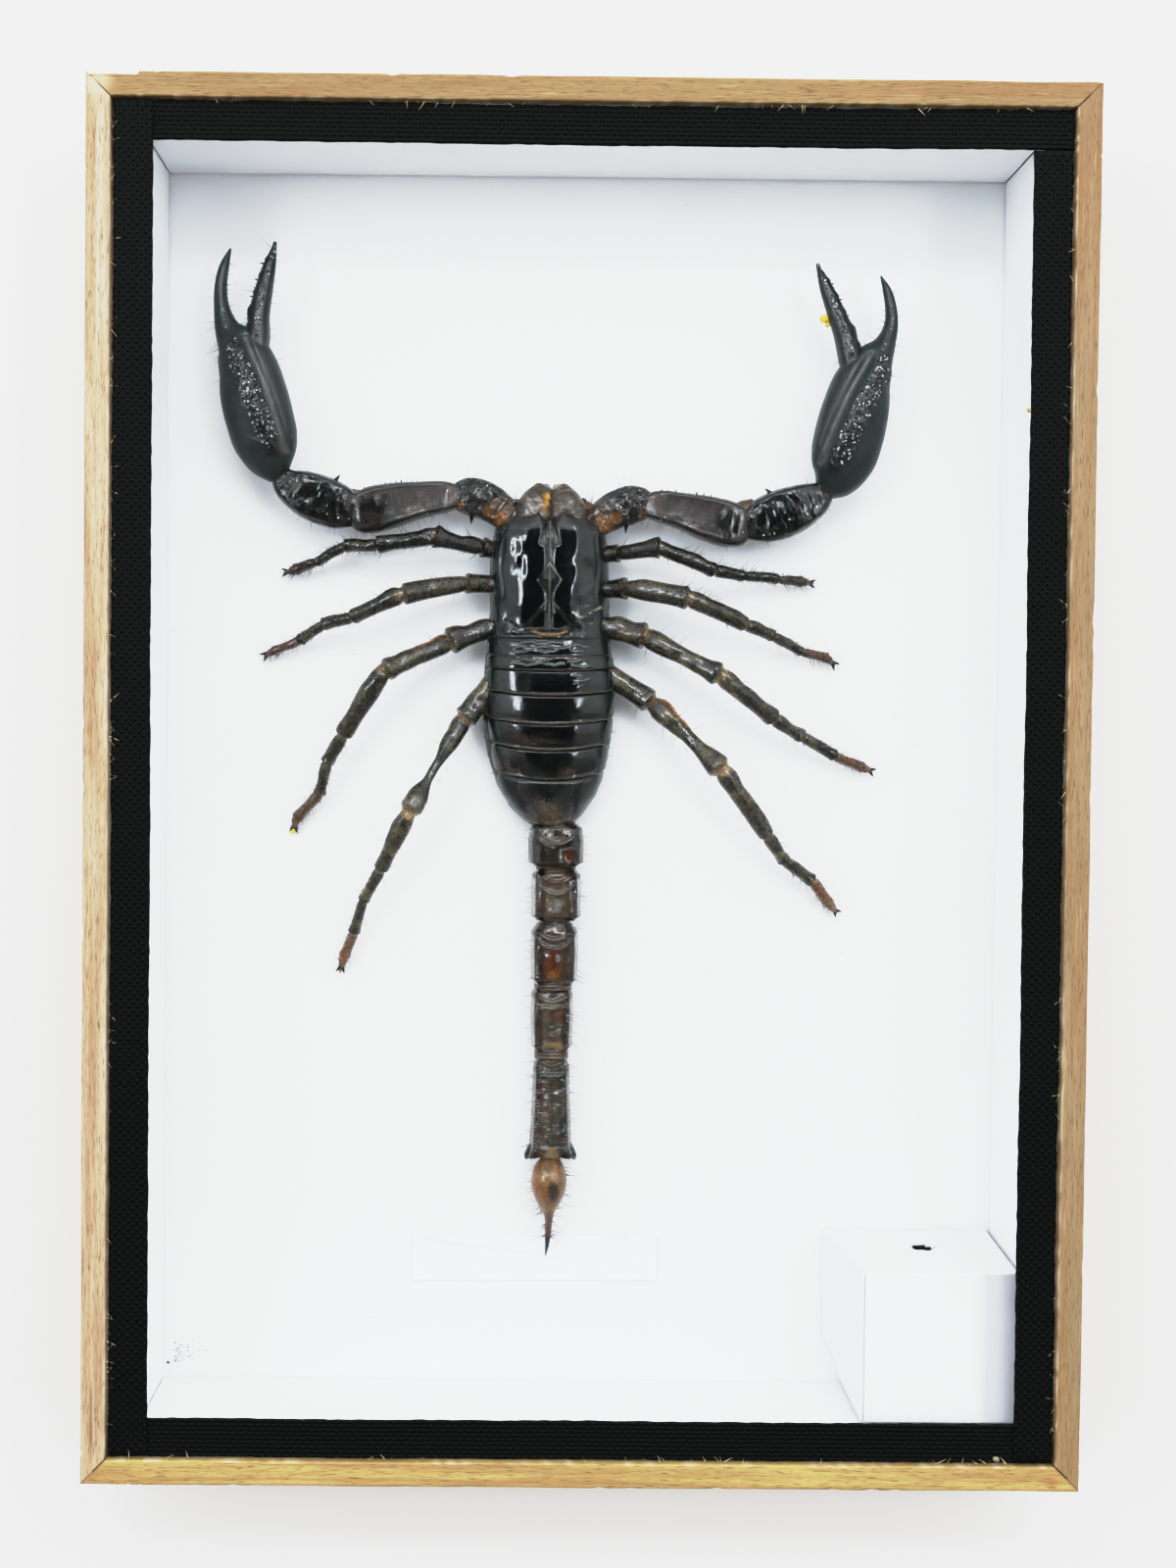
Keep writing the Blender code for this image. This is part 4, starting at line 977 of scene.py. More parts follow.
def addHand(pot, arm):
    rows = smoothTable(arm["hand"], 200)
    rows[:, 3:] = np.maximum(rows[:, 3:], 0.15)
    grid, ringX, ringZ = tubeGrid(rows, 96, 0.92)
    upper = ease(0.05, 0.5, ringZ) * np.ones(grid.shape[:2])
    x, y = grid[..., 0], grid[..., 1]
    palm = np.interp(np.linspace(0, 1, 200), (0, 0.04, 0.55, 0.66), (0, 1, 1, 0))[:, None]
    wave, fine = latticeNoise(grid * 0.5, 61), latticeNoise(grid * 2.6, 62)
    band = ridgeAlong(x, y, arm["band"], 1.75) * upper * ease(0, 1, palm)
    groove = ridgeAlong(x, y, arm["groove"], 0.75) * upper * ease(0, 1, palm)
    grooveX, grooveY = zip(*arm["groove"][::-1])
    outer = np.abs(x) > np.abs(np.interp(y, grooveY, grooveX))
    lobe = (1 - outer) * upper * ease(0, 1, palm) * (1 - groove)
    grid[..., 2] += 0.6 * band - 0.8 * groove + 0.09 * wave + 0.035 * fine + 0.16 * band * fine
    grid[..., 2] += floorTop
    tones = paintOver(
        toneOf("greyGreen") * 1.25,
        (ease(0.45, 0.75, band) * 0.9, "deep"),
        (ease(0.35, 0.8, groove) * 0.8, "grey"),
        (lobe * 0.22, "mauve"))
    pot.addRings(grid, tones, spotsAt(0.44 - 0.16 * ease(0.45, 0.75, band), 0.5, 0.9))


def addFinger(pot, arm, inward):
    rows = smoothTable(arm["finger"], 110)
    rows[:, 3:] = np.maximum(rows[:, 3:], 0.15)
    grid, ringX, ringZ = tubeGrid(rows, 56, 0.9)
    along = np.linspace(0, 1, 110)[:, None]
    biting = ease(0.4, 0.95, ringX * inward) * np.ones((110, 1))
    tooth = np.maximum(0, np.sin(along * 46)) ** 2 * 0.14 + 0.3 * bell(along - 0.42, 0.05)
    heading = np.cross(np.gradient(rows[:, :3], axis=0), [0, 0, 1.0])
    heading /= np.linalg.norm(heading, axis=1)[:, None]
    grid += (heading[:, None, :] * inward) * (biting * tooth * ease(0.15, 0.3, along))[..., None]
    fine = latticeNoise(grid * 2.2, 64)
    upper = ease(0.4, 0.9, ringZ) * np.ones((110, 1))
    grid[..., 2] += 0.06 * fine + 0.12 * upper + floorTop
    tones = paintOver(
        toneOf("greyGreen"),
        (0.85 * upper * ease(0.12, 0.3, along), "deep"),
        (0.6 * ease(0.22, 0.1, along) * upper, "brown"))
    pot.addRings(grid, tones, [0.36, 0.4, 0.9])


def addLimb(pot, table, count, columns, power, tone, finish, patches=(), lumps=0.06, keel=0.0, seed=70,
            speckle="black"):
    rows = smoothTable(table, count)
    rows[:, 3:] = np.maximum(rows[:, 3:], 0.12)
    grid, ringX, ringZ = tubeGrid(rows, columns, power)
    lump, fine = latticeNoise(grid * 0.8, seed), latticeNoise(grid * 2.8, seed + 1)
    grid[..., 2] += (lumps * lump + lumps * 0.6 * fine) * ease(-0.3, 0.4, ringZ)
    middle = np.sin(np.linspace(0, math.pi, count))[:, None] ** 0.7
    edge = bell(np.abs(ringX) - 0.82, 0.13) * (ringZ > 0)
    flat = ease(0.75, 0.2, np.abs(ringX)) * (ringZ > 0)
    grid[..., 2] += keel * middle * (edge - 0.8 * flat)
    tones = paintOver(
        toneOf(tone),
        (0.8 * ease(0.0, 0.5, fine + 0.4 * lump), speckle),
        ((2.0 * keel * middle * edge).clip(0, 0.8), "black"))
    finishes = np.array(np.broadcast_to(finish, (*grid.shape[:2], 3)))
    for px, py, radius, patchTone, strength in patches:
        near = np.hypot(grid[..., 0] - px, grid[..., 1] - py) / radius + 0.2 * lump
        tones = paintOver(tones, (strength * ease(1.2, 0.6, near), patchTone))
        if patchTone == "deep":
            finishes[..., 0] -= 0.22 * ease(1.5, 0.3, near)
    grid[..., 2] += floorTop
    pot.addRings(grid, tones, finishes)


def addSpike(pot, root, tip, width):
    root, tip = np.array(root), np.array(tip)
    rows = smoothTable([(*root, width, width), (*(root * 0.55 + tip * 0.45), width * 0.62, width * 0.62),
                        (*tip, 0.08, 0.08)], 10)
    addTube(pot, rows, 12, 0.95, "black", (0.25, 0.3, 0.6))


handPot, armPot = MeshPot(), MeshPot()
for sideName, inward in (("left", -1), ("right", 1)):
    arm = arms[sideName]
    addHand(handPot, arm)
    addFinger(handPot, arm, inward)

    def patch(key, number, right, up, radius, tone, strength):
        x, y = arm[key][number][:2]
        return x + right, y + up, radius, tone, strength

    addLimb(armPot, arm["patella"], 110, 56, 0.7, "black", (0.17, 0.35, 0.6),
            (patch("patella", 0, 0, 0, 1.6, "brown", 0.5),
             patch("patella", 3, 0, 2.4, 2.4, "greyGreen", 0.9)), 0.16, 0.3)
    addLimb(armPot, arm["femur"], 110, 56, 0.62, "dusk", (0.4, 1.0, 0.9),
            (patch("femur", 2, -0.6 * inward, 0, 2.9, "deep", 0.85),
             patch("coxa", 0, 0, 0, 1.5, "brown", 0.6),
             # a painted highlight on the glossy knob at the elbow
             patch("femur", 2, -1.7 * inward, 1.9, 0.55, "paintedGlint", 0.9),
             patch("femur", 3, 0, -2.6, 2.2, "black", 0.5),
             patch("femur", 4, 0, 0.6, 1.0, "grey", 0.4)), 0.05, 0.35)
    addLimb(armPot, arm["coxa"], 110, 60, 0.8, "greyGreen", (0.32, 1.0, 1.0),
            (patch("coxa", 4, 0, 0, 2.8, "brown", 0.9),
             patch("coxa", 4, 0.6 * inward, -1.2, 1.5, "amber", 0.6),
             patch("coxa", 1, 0, -1.6, 1.1, "amber", 0.5),
             patch("coxa", 3, 0, -1.6, 1.0, "amber", 0.5)), 0.42)
    addLimb(armPot, arm["membrane"], 26, 36, 0.9, "olive", (0.34, 0.6, 1.0),
            (patch("femur", 0, 0, 2.2, 2.0, "amber", 0.7),), 0.15)
    for root, tip, width in arm["spurs"]:
        addSpike(armPot, root, tip, width)
handPot.build("scorpionHands", satinShell, "shell", ("scorpion",))

jaws = {
    "left": ((-8.4, 40.5, 5.2, 5.6, 4.0), (-8.5, 43.6, 5.9, 6.6, 5.2), (-8.2, 45.6, 6.0, 5.6, 4.6),
             (-7.3, 47.3, 5.4, 4.2, 3.4), (-6.4, 48.6, 4.9, 2.4, 2.0), (-6.1, 49.1, 4.9, 0.3, 0.3)),
    "right": ((-2.9, 40.5, 5.2, 5.6, 4.0), (-2.9, 43.6, 5.9, 6.6, 5.2), (-3.2, 45.6, 6.0, 5.6, 4.6),
              (-3.9, 47.2, 5.4, 4.2, 3.4), (-4.8, 48.5, 4.9, 2.4, 2.0), (-5.2, 49.0, 4.9, 0.3, 0.3)),
    "cheeks": (((-12.6, 41.0, 4.0, 3.0, 3.4), (-12.4, 43.8, 4.4, 4.2, 3.6), (-11.4, 45.6, 4.3, 2.6, 2.6),
                (-10.6, 46.5, 4.2, 0.6, 0.8)),
               ((1.0, 40.6, 4.0, 3.0, 3.4), (0.8, 43.6, 4.4, 4.2, 3.6), (-0.2, 45.6, 4.3, 2.6, 2.6),
                (-0.6, 46.9, 4.2, 0.6, 0.8))),
    "stripe": ((-6.5, 46.8, 0.7, "yellow", 0.85), (-6.6, 45.6, 0.6, "yellow", 0.8),
               (-6.7, 44.4, 0.6, "amber", 0.9)),
}
for sideName in ("left", "right"):
    jaw = jaws[sideName]
    patches = ((jaw[1][0], jaw[1][1] - 1.0, 1.6, "brown", 0.8), (*jaw[3][:2], 1.0, "olive", 0.5))
    if sideName == "left":
        patches = jaws["stripe"] + patches
    addLimb(armPot, jaw, 70, 48, 0.85, "mauve", (0.34, 1.0, 1.0), patches, 0.2, 0.0, 76, "warm")
for table in jaws["cheeks"]:
    patches = ((table[1][0], table[1][1] + 1.0, 1.6, "amber", 0.6),)
    addLimb(armPot, table, 40, 32, 0.9, "brown", (0.4, 0.8, 1.0), patches, 0.2)
armPot.build("scorpionArms", legShell, "shell", ("scorpion",))
print("claws and arms ready")


# the joints of a leg: x, y, height over the sheet, width
legs = {
    "left1": ((-12.4, 37.6, 4.2, 2.8), (-17.0, 38.6, 5.6, 2.9), (-24.8, 40.0, 8.6, 3.2),
              (-34.1, 38.6, 7.6, 2.5), (-39.3, 38.6, 6.0, 2.0), (-44.1, 36.0, 4.2, 1.6),
              (-47.7, 34.7, 2.6, 1.7), (-49.7, 34.5, 1.6, 0.5)),
    "left2": ((-12.6, 32.6, 4.2, 3.2), (-19.6, 32.8, 6.4, 3.4), (-29.8, 30.6, 9.8, 3.5),
              (-38.0, 27.0, 7.4, 2.6), (-42.8, 25.9, 5.4, 2.2), (-46.8, 23.2, 3.6, 1.9),
              (-51.3, 21.6, 2.0, 1.7), (-52.9, 20.6, 1.4, 0.6)),
    "left3": ((-12.8, 26.6, 4.2, 3.6), (-22.4, 23.0, 6.6, 3.8), (-32.6, 18.3, 9.8, 4.0),
              (-39.4, 7.5, 7.2, 2.7), (-42.0, 3.1, 5.4, 2.1), (-43.3, -2.0, 3.8, 2.1),
              (-47.3, -6.2, 2.0, 1.8), (-47.7, -8.0, 1.4, 0.6)),
    "left4": ((-13.2, 18.2, 4.4, 4.4), (-19.7, 10.4, 6.0, 3.5), (-28.4, -4.8, 10.2, 3.7),
              (-33.0, -14.2, 7.2, 2.4), (-35.9, -19.4, 5.4, 2.0), (-37.5, -24.9, 3.6, 2.0),
              (-39.2, -29.0, 2.2, 1.8), (-39.9, -31.8, 1.4, 0.6)),
    "right1": ((1.2, 37.4, 4.2, 2.8), (5.6, 38.0, 5.6, 2.9), (12.2, 38.6, 8.6, 3.0),
               (21.2, 35.1, 7.4, 2.4), (25.9, 34.5, 5.8, 2.0), (31.9, 34.1, 4.2, 1.7),
               (35.9, 33.7, 2.6, 1.7), (38.0, 33.5, 1.6, 0.5)),
    "right2": ((1.4, 32.0, 4.2, 3.2), (6.9, 32.2, 6.4, 3.5), (16.9, 30.4, 9.8, 3.5),
               (26.3, 26.4, 7.4, 2.6), (30.9, 24.8, 5.4, 2.1), (36.0, 22.2, 3.6, 1.8),
               (40.4, 21.2, 2.0, 1.6), (41.7, 20.1, 1.4, 0.6)),
    "right3": ((1.6, 26.6, 4.2, 4.2), (10.1, 24.2, 6.6, 3.9), (22.1, 17.9, 9.8, 3.6),
               (31.2, 10.9, 7.2, 2.6), (36.0, 8.2, 5.4, 2.2), (41.7, 5.0, 3.8, 1.9),
               (46.6, 3.2, 2.0, 1.8), (48.2, 2.5, 1.4, 0.6)),
    "right4": ((2.0, 19.4, 4.4, 4.2), (11.2, 13.6, 6.0, 4.0), (22.5, 2.5, 10.2, 3.6),
               (30.3, -8.1, 7.2, 2.7), (33.3, -12.2, 5.4, 2.2), (38.2, -15.7, 3.6, 2.0),
               (41.3, -19.7, 2.2, 1.8), (42.7, -21.1, 1.4, 0.6)),
}
legForm = {
    "depthShare": 1.1,
    "waists": {"left4": (1, 0.42), "right4": (1, 0.62), "left3": (1, 0.86), "right3": (1, 0.82)},
    "tones": ("black", "dull", "dull", "dull", "dull", "brown", "brown"),
    "lightness": {"1": 0.25, "2": 1.0, "3": 1.4, "4": 2.1},
    "roots": {"left3": "dull", "left4": "dull", "right3": "dull", "right4": "dull"},
}


def legRows(name, joints):
    # each part swells behind its joint, tapers, and ends in a narrow collar
    waistPart, waist = legForm["waists"].get(name, (-1, 1.0))
    rows, parts = [], []
    for k, (near, far) in enumerate(zip(joints, joints[1:])):
        near, far = np.array(near), np.array(far)
        last = k == len(joints) - 2
        shares = np.array([0.0, 0.035, 0.09, 0.2, 0.35, 0.5, 0.65, 0.8, 0.9, 0.945, 0.965, 0.99])
        swell = np.array([0.72, 0.80, 0.88, 0.92, 0.93, 0.92, 0.93, 0.99, 1.08, 1.10, 0.92, 0.74])
        if k == waistPart:
            slim = (0.98, 1 - (1 - waist) * 0.55, waist, waist * 1.1, 0.9)
            swell = swell * np.array([1, 1, 1, *slim, 1, 1, 1, 1])
        if last:
            shares, swell = np.array([0.0, 0.2, 0.5, 0.8, 1.0]), np.array([0.8, 1.0, 0.9, 0.7, 0.4])
        for share, factor in zip(shares, swell):
            spot = near + (far - near) * share
            sag = 0.35 * math.sin(math.pi * share) * (1 if k in (1, 2) else 0)
            width = spot[3] * factor
            rows.append((spot[0], spot[1], spot[2] + sag, width, width * legForm["depthShare"]))
            parts.append((k, share))
    return np.array(rows), np.array(parts)


def addLeg(pot, name, joints, seed):
    rows, parts = legRows(name, joints)
    count = len(rows)
    dense = np.linspace(0, count - 1, count * 4 - 3)
    whole = np.floor(dense).astype(int).clip(0, count - 2)
    part = (dense - whole)[:, None]
    rows = rows[whole] * (1 - part) + rows[whole + 1] * part
    parts = parts[np.round(dense).astype(int)]
    rows[:, 3:] = np.maximum(rows[:, 3:], 0.15)
    rows[1:-1] = rows[1:-1] * 0.5 + (rows[:-2] + rows[2:]) * 0.25
    steps = np.linalg.norm(np.diff(rows[:, :3], axis=0), axis=1)
    bulge = latticeNoise(spotsAt(np.cumsum([0, *steps]) * 0.45, seed * 1.7, 0.0), seed)
    rows[:, 3] *= 1 + 0.13 * bulge
    rows[1:-1, 1] += 0.16 * bulge[1:-1]
    grid, ringX, ringZ = tubeGrid(rows, 32, 0.8)
    lump, fine = latticeNoise(grid * 0.9, seed), latticeNoise(grid * 3.0, seed + 1)
    ridge = np.maximum(0, ringZ) ** 3
    grid[..., 2] += ((0.11 * lump + 0.06 * fine) * ease(-0.5, 0.3, ringZ)
                     + 0.16 * ridge * (rows[:, 3] > 1.4)[:, None])
    tones = np.zeros((*grid.shape[:2], 3))
    for k, base in enumerate(legForm["tones"]):
        tones[parts[:, 0] == k] = toneOf(legForm["roots"].get(name, base) if k == 0 else base)
    ends = (ease(0.06, 0.0, parts[:, 1]) + ease(0.95, 0.985, parts[:, 1]))[:, None]
    early = (parts[:, 0] <= 2)[:, None]
    low = ease(0.1, -0.5, ringZ) * ((parts[:, 0] == 1) | (parts[:, 0] == 2))[:, None]
    patchy = latticeNoise(grid * 0.3 + 9.0, seed + 2)
    tones = paintOver(
        tones,
        (0.85 * ease(-0.1, 0.6, lump + 0.4 * fine + 0.5 * patchy), "olive"),
        (0.35 * ease(0.3, 0.8, patchy + 0.3 * fine), "warm"),
        (0.5 * ease(0.25, 0.8, -lump), "mauve"),
        (np.clip(ends * (0.25 + 0.45 * early) * (0.75 + 0.5 * fine), 0, 0.8), "tan"),
        (0.45 * low, "brown"))
    if name in ("left3", "right4"):
        sidewards = ease(0.5, 0.9, ringX * (1 if name == "left3" else -1))
        where = (parts[:, 0] == 1)[:, None] * ease(0.7, 0.2, parts[:, 1])[:, None]
        tones = paintOver(tones, (0.6 * np.clip(sidewards, 0, 1) * where, "amber"))
    grid[..., 2] += floorTop
    tones = tones * legForm["lightness"][name[-1]]
    tones[parts[:, 0] >= 5] = tones[parts[:, 0] >= 5] * 1.2 + toneOf("redBrown") * 0.1
    pot.addRings(grid, tones, [0.27, 0.8, 0.9])
    foot, tip = np.array(joints[-2][:3]), np.array(joints[-1][:3])
    heading = (tip - foot) / np.linalg.norm(tip - foot)
    for turn in (-24, 24):
        c, s = math.cos(math.radians(turn)), math.sin(math.radians(turn))
        along = np.array([heading[0] * c - heading[1] * s, heading[0] * s + heading[1] * c, heading[2]])
        start = foot * 0.55 + tip * 0.45
        bend = start + along * 1.1 + np.array([0, 0, 0.25])
        end = start + along * 1.95 + np.array([0, 0, -0.55])
        end[2] = max(end[2], 0.35)
        hook = smoothTable([(*start, 0.55, 0.6), (*bend, 0.42, 0.46), (*end, 0.08, 0.08)], 12)
        addTube(pot, hook, 10, 0.95, "black", (0.22, 0.2, 0.3))


legPot = MeshPot()
for legNumber, (legName, legJoints) in enumerate(legs.items()):
    addLeg(legPot, legName, legJoints, 80 + legNumber * 3)
legPot.build("scorpionLegs", legShell, "shell", ("scorpion",))
print("legs ready")


# the box: four mitred rails and woven tape
box = {
    "half": (77.5, 108.5), "height": 32.0, "rail": 3.9, "rounding": 0.28, "mitreGap": 0.03,
    "chip": {"toX": -69.5, "depth": 0.5, "fromZ": 22.0},
    "tones": {"top": (0.315, 0.25, 0.127), "bottom": (0.48, 0.385, 0.165), "left": (0.54, 0.46, 0.35),
              "right": (0.31, 0.245, 0.15)},
}


def woodFinish():
    # open grain that runs along each rail: the mesh says how far along and across each spot is
    finish, tree, shader = startFinish("railWood", {"Specular IOR Level": 0.3})
    place = readAttribute(tree, "alongRail", "Vector")
    tone = readAttribute(tree, "tone")

    def stretched(along, across, detail, rough, twist=0.0):
        scaled = addNode(tree, "ShaderNodeMapping", {}, {"Vector": place, "Scale": (along, across, across)})
        return addNoise(tree, scaled.outputs[0], 1.0, detail, rough, twist)

    figure = stretched(0.022, 0.55, 4.0, 0.6, 0.4)
    streak = stretched(0.09, 2.2, 5.0, 0.7, 0.5)
    pore = stretched(0.5, 7.0, 2.0, 0.5)
    body = mixTones(tree, addRamp(tree, figure, ((0.36, 0.0), (0.64, 0.7))), tone, (0.30, 0.19, 0.095))
    body = mixTones(tree, addRamp(tree, streak, ((0.5, 0.0), (0.72, 0.5))), body, (0.24, 0.14, 0.065))
    body = mixTones(tree, addRamp(tree, streak, ((0.28, 0.4), (0.42, 0.0))), body, (0.62, 0.50, 0.34))
    body = mixTones(tree, addRamp(tree, pore, ((0.57, 0.0), (0.68, 0.7))), body, (0.16, 0.09, 0.045))
    wearAndGlint = addNode(tree, "ShaderNodeSeparateColor", {}, {0: readAttribute(tree, "finish")})
    body = mixTones(tree, wearAndGlint.outputs[1], body, (0.16, 0.10, 0.055))
    body = mixTones(tree, wearAndGlint.outputs[2], body, (0.66, 0.56, 0.42))
    tree.links.new(body, shader.inputs["Base Color"])
    tree.links.new(addRamp(tree, streak, ((0.3, 0.5), (0.7, 0.68))), shader.inputs["Roughness"])
    addBump(tree, shader, pore, 0.5, -0.00008)
    addBump(tree, shader, streak, 0.35, 0.0001)
    return finish


def sideOf(side):
    # whether the side runs across the picture, and which way is outward
    return side in ("top", "bottom"), 1 if side in ("top", "right") else -1


def railProfile():
    # from the inner face round the top and the outer face to the underside: across, height
    wide, high, r = box["rail"], box["height"], box["rounding"]
    spots = []
    for cx, cz, start in ((wide - r, high - r, 0), (r, high - r, 90), (r, r, 180), (wide - r, r, 270)):
        for step in range(5):
            turn = math.radians(start + step * 22.5)
            spots.append((cx + r * math.cos(turn), cz + r * math.sin(turn)))
        if start == 0:
            spots += [(wide * k / 9, high) for k in range(8, 0, -1)]
        if start == 90:
            spots += [(0.0, high * k / 8) for k in range(7, 0, -1)]
        if start == 270:
            spots += [(wide, high * k / 6) for k in range(1, 6)]
    return np.array(spots)


def addRail(side, finish):
    pot = MeshPot()
    profile = railProfile()
    flat, sign = sideOf(side)
    half, across = box["half"] if flat else box["half"][::-1]
    share = np.concatenate([
        np.linspace(-1, -0.86, 50), np.linspace(-0.85, 0.85, 110), np.linspace(0.86, 1, 50)])
    t, z = profile[:, 0], profile[:, 1]
    along = share[:, None] * (half - box["mitreGap"] - t)
    seed = {"top": 3, "bottom": 5, "left": 7, "right": 9}[side]
    zz = np.broadcast_to(z, along.shape)
    tt = np.broadcast_to(t, along.shape)
    wobble = latticeNoise(spotsAt(along * 0.09, tt * 0.3, zz * 0.1 + seed), seed)
    topEdge = ease(box["height"] - 1.2, box["height"] - 0.1, zz)
    inset = 0.05 + 0.05 * wobble
    nick = latticeNoise(spotsAt(along * 1.1, tt, zz + seed), seed + 1)
    outerEdge = topEdge * ease(0.5, 0.0, tt)
    inset = inset + 0.22 * outerEdge * ease(0.5, 0.9, nick)
    depth = tt + np.where(tt < box["rail"] / 2, inset, -inset)
    if side == "top":
        high = box["chip"]["toX"]
        fromZ = box["chip"]["fromZ"]
        cut = ease(high + 0.25, high - 0.1, along) * ease(fromZ - 4, fromZ, zz)
        depth = depth + box["chip"]["depth"] * cut * (tt < 0.6)
    zz = zz - (0.04 + 0.035 * wobble) * topEdge - 0.12 * outerEdge * ease(0.55, 0.9, nick)
    zz = np.where(z < 1, z + 0.02, zz)
    if flat:
        grid = np.stack([along, sign * (across - depth), zz], -1)
    else:
        grid = np.stack([sign * (across - depth), along, zz], -1)
    tones = np.array(box["tones"][side]) * (1 + 0.05 * wobble[..., None])
    finishes = np.zeros((*along.shape, 3))
    mitre = ease(0.4, 0.0, (half - tt) - np.abs(along)) * topEdge
    plain = (along < 0) if side == "top" else (along > 0) if side == "left" else np.zeros_like(along, bool)
    finishes[..., 1] = 0.55 * mitre * ~plain
    finishes[..., 2] = 0.6 * ease(0.35, 0.05, box["rail"] - tt) * topEdge * ease(-0.2, 0.7, nick)
    wearAndGlint = ease(3.2, 0.6, np.hypot(np.abs(along) - half + 2.0, tt - 1.6)) * topEdge * plain
    finishes[..., 2] = np.maximum(finishes[..., 2], 0.55 * wearAndGlint)
    if side == "bottom":
        spot = ease(1.4, 0.3, np.hypot((along - 73.0) / 1.2, (tt - 1.6) / 1.0))
        tones = tones * (1 - 0.5 * spot[..., None]) + np.array((0.40, 0.15, 0.04)) * 0.5 * spot[..., None]
    if side == "left":
        streaks = ease(1.2, 0.4, np.hypot((along + 98.0) / 6.5, (tt - 1.7) / 0.35))
        finishes[..., 1] = np.maximum(finishes[..., 1], 0.65 * streaks)
    pot.addRings(grid, tones, finishes)
    return pot.build("rail_" + side, finish, "wood", (side + "_rail",))


def addRails():
    finish = woodFinish()
    for side in ("top", "bottom", "left", "right"):
        mesh = addRail(side, finish).data
        points = np.empty(len(mesh.vertices) * 3)
        mesh.vertices.foreach_get("co", points)
        points = points.reshape(-1, 3) / mm
        k = 0 if sideOf(side)[0] else 1
        seed = {"top": 120, "bottom": 200, "left": 280, "right": 360}[side]
        depth = box["half"][1 - k] - np.abs(points[:, 1 - k])
        spots = np.stack([points[:, k] + seed * 3, depth + seed, points[:, 2]], -1)
        layer = mesh.attributes.new("alongRail", "FLOAT_VECTOR", "POINT")
        layer.data.foreach_set("vector", spots.astype(np.float32).ravel())


addRails()
print("rails ready")

tape = {
    "low": 31.03, "thick": 0.2, "rows": 9, "stitch": 1.28, "edge": (73.3, 104.3), "inner": (67.2, 98.2),
}


def tapeFinish(name, tone, rough):
    finish, tree, shader = startFinish(name, {"Specular IOR Level": 0.2})
    place = objectPlace(tree)
    lint = addNoise(tree, place, 3200.0, 4.0, 0.7)
    body = mixTones(tree, addRamp(tree, lint, ((0.6, 0.0), (0.75, 0.22))), tone, (0.09, 0.10, 0.09))
    tree.links.new(body, shader.inputs["Base Color"])
    tree.links.new(addRamp(tree, lint, ((0.3, rough), (0.7, rough + 0.18))), shader.inputs["Roughness"])
    addBump(tree, shader, lint, 0.5, 0.00003)
    return finish


def addTape(side, finish, low, ends):
    # one strip of woven tape: soft ribs along its length, a slightly wavy edge
    pot = MeshPot()
    flat, sign = sideOf(side)
    near, far = tape["inner"][flat], tape["edge"][flat]
    along = np.linspace(ends[0], ends[1], int((ends[1] - ends[0]) / 0.7))
    across = np.linspace(0, 1, 55)
    aa, cc = np.meshgrid(along, across, indexing="ij")
    seed = {"top": 1, "bottom": 2, "left": 3, "right": 4}[side]
    wave = latticeNoise(spotsAt(aa * 0.05, cc * 0.2, seed), 91)
    fray = latticeNoise(spotsAt(aa * 0.9, cc * 0.1 + seed, 0.0), 92)
    frayed = 0.07 * fray * (cc < 0.02) + 0.08 * fray * (cc > 0.98)
    spot = near + 0.06 * wave + (far - near - 0.05) * cc + frayed
    rib = 0.5 - 0.5 * np.cos(cc * math.tau * tape["rows"])
    rounded = ease(0.0, 0.03, cc) * ease(1.0, 0.97, cc)
    z = low + tape["thick"] * rounded * (0.7 + 0.3 * rib) + 0.012 * wave
    grid = np.stack([aa, sign * spot, z] if flat else [sign * spot, aa, z], -1)
    pot.addPlate(grid, (0.01, 0.01, 0.01), (0.5, 0, 0), 0.06)
    pot.build("tape_" + side, finish, "tape", (side + "_tape",))
    spots, turns = [], []
    count = int((ends[1] - ends[0]) / tape["stitch"])
    for row in range(tape["rows"]):
        c = (row + 0.5) / tape["rows"]
        for k in range(count):
            a = ends[0] + (k + 0.5 + 0.5 * (row % 2)) * tape["stitch"]
            if a > ends[1] - 0.5:
                continue
            bend = 0.06 * float(np.interp(a, along, wave[:, 27]))
            b = near + bend + (far - near - 0.05) * c
            height = low + tape["thick"] * 0.88
            spots.append((a, sign * b, height) if flat else (sign * b, a, height))
            turns.append((0, 0, 0 if flat else math.pi / 2))
    return spots, turns


tapeBase = tapeFinish("tapeWeave", (0.0012, 0.0028, 0.0022), 0.5)
tapeThread = tapeFinish("tapeThread", (0.002, 0.0042, 0.0034), 0.3)
lower, upper = tape["low"], tape["low"] + 0.27
edgeX, edgeY = tape["edge"]
tapeStitches = {
    "top": addTape("top", tapeBase, lower, (-edgeX + 0.3, edgeX)),
    "bottom": addTape("bottom", tapeBase, lower, (-edgeX + 0.2, edgeX - 0.2)),
    "left": addTape("left", tapeBase, upper, (-edgeY + 0.4, edgeY)),
    "right": addTape("right", tapeBase, upper, (-edgeY + 0.15, tape["inner"][1] - 0.1)),
}


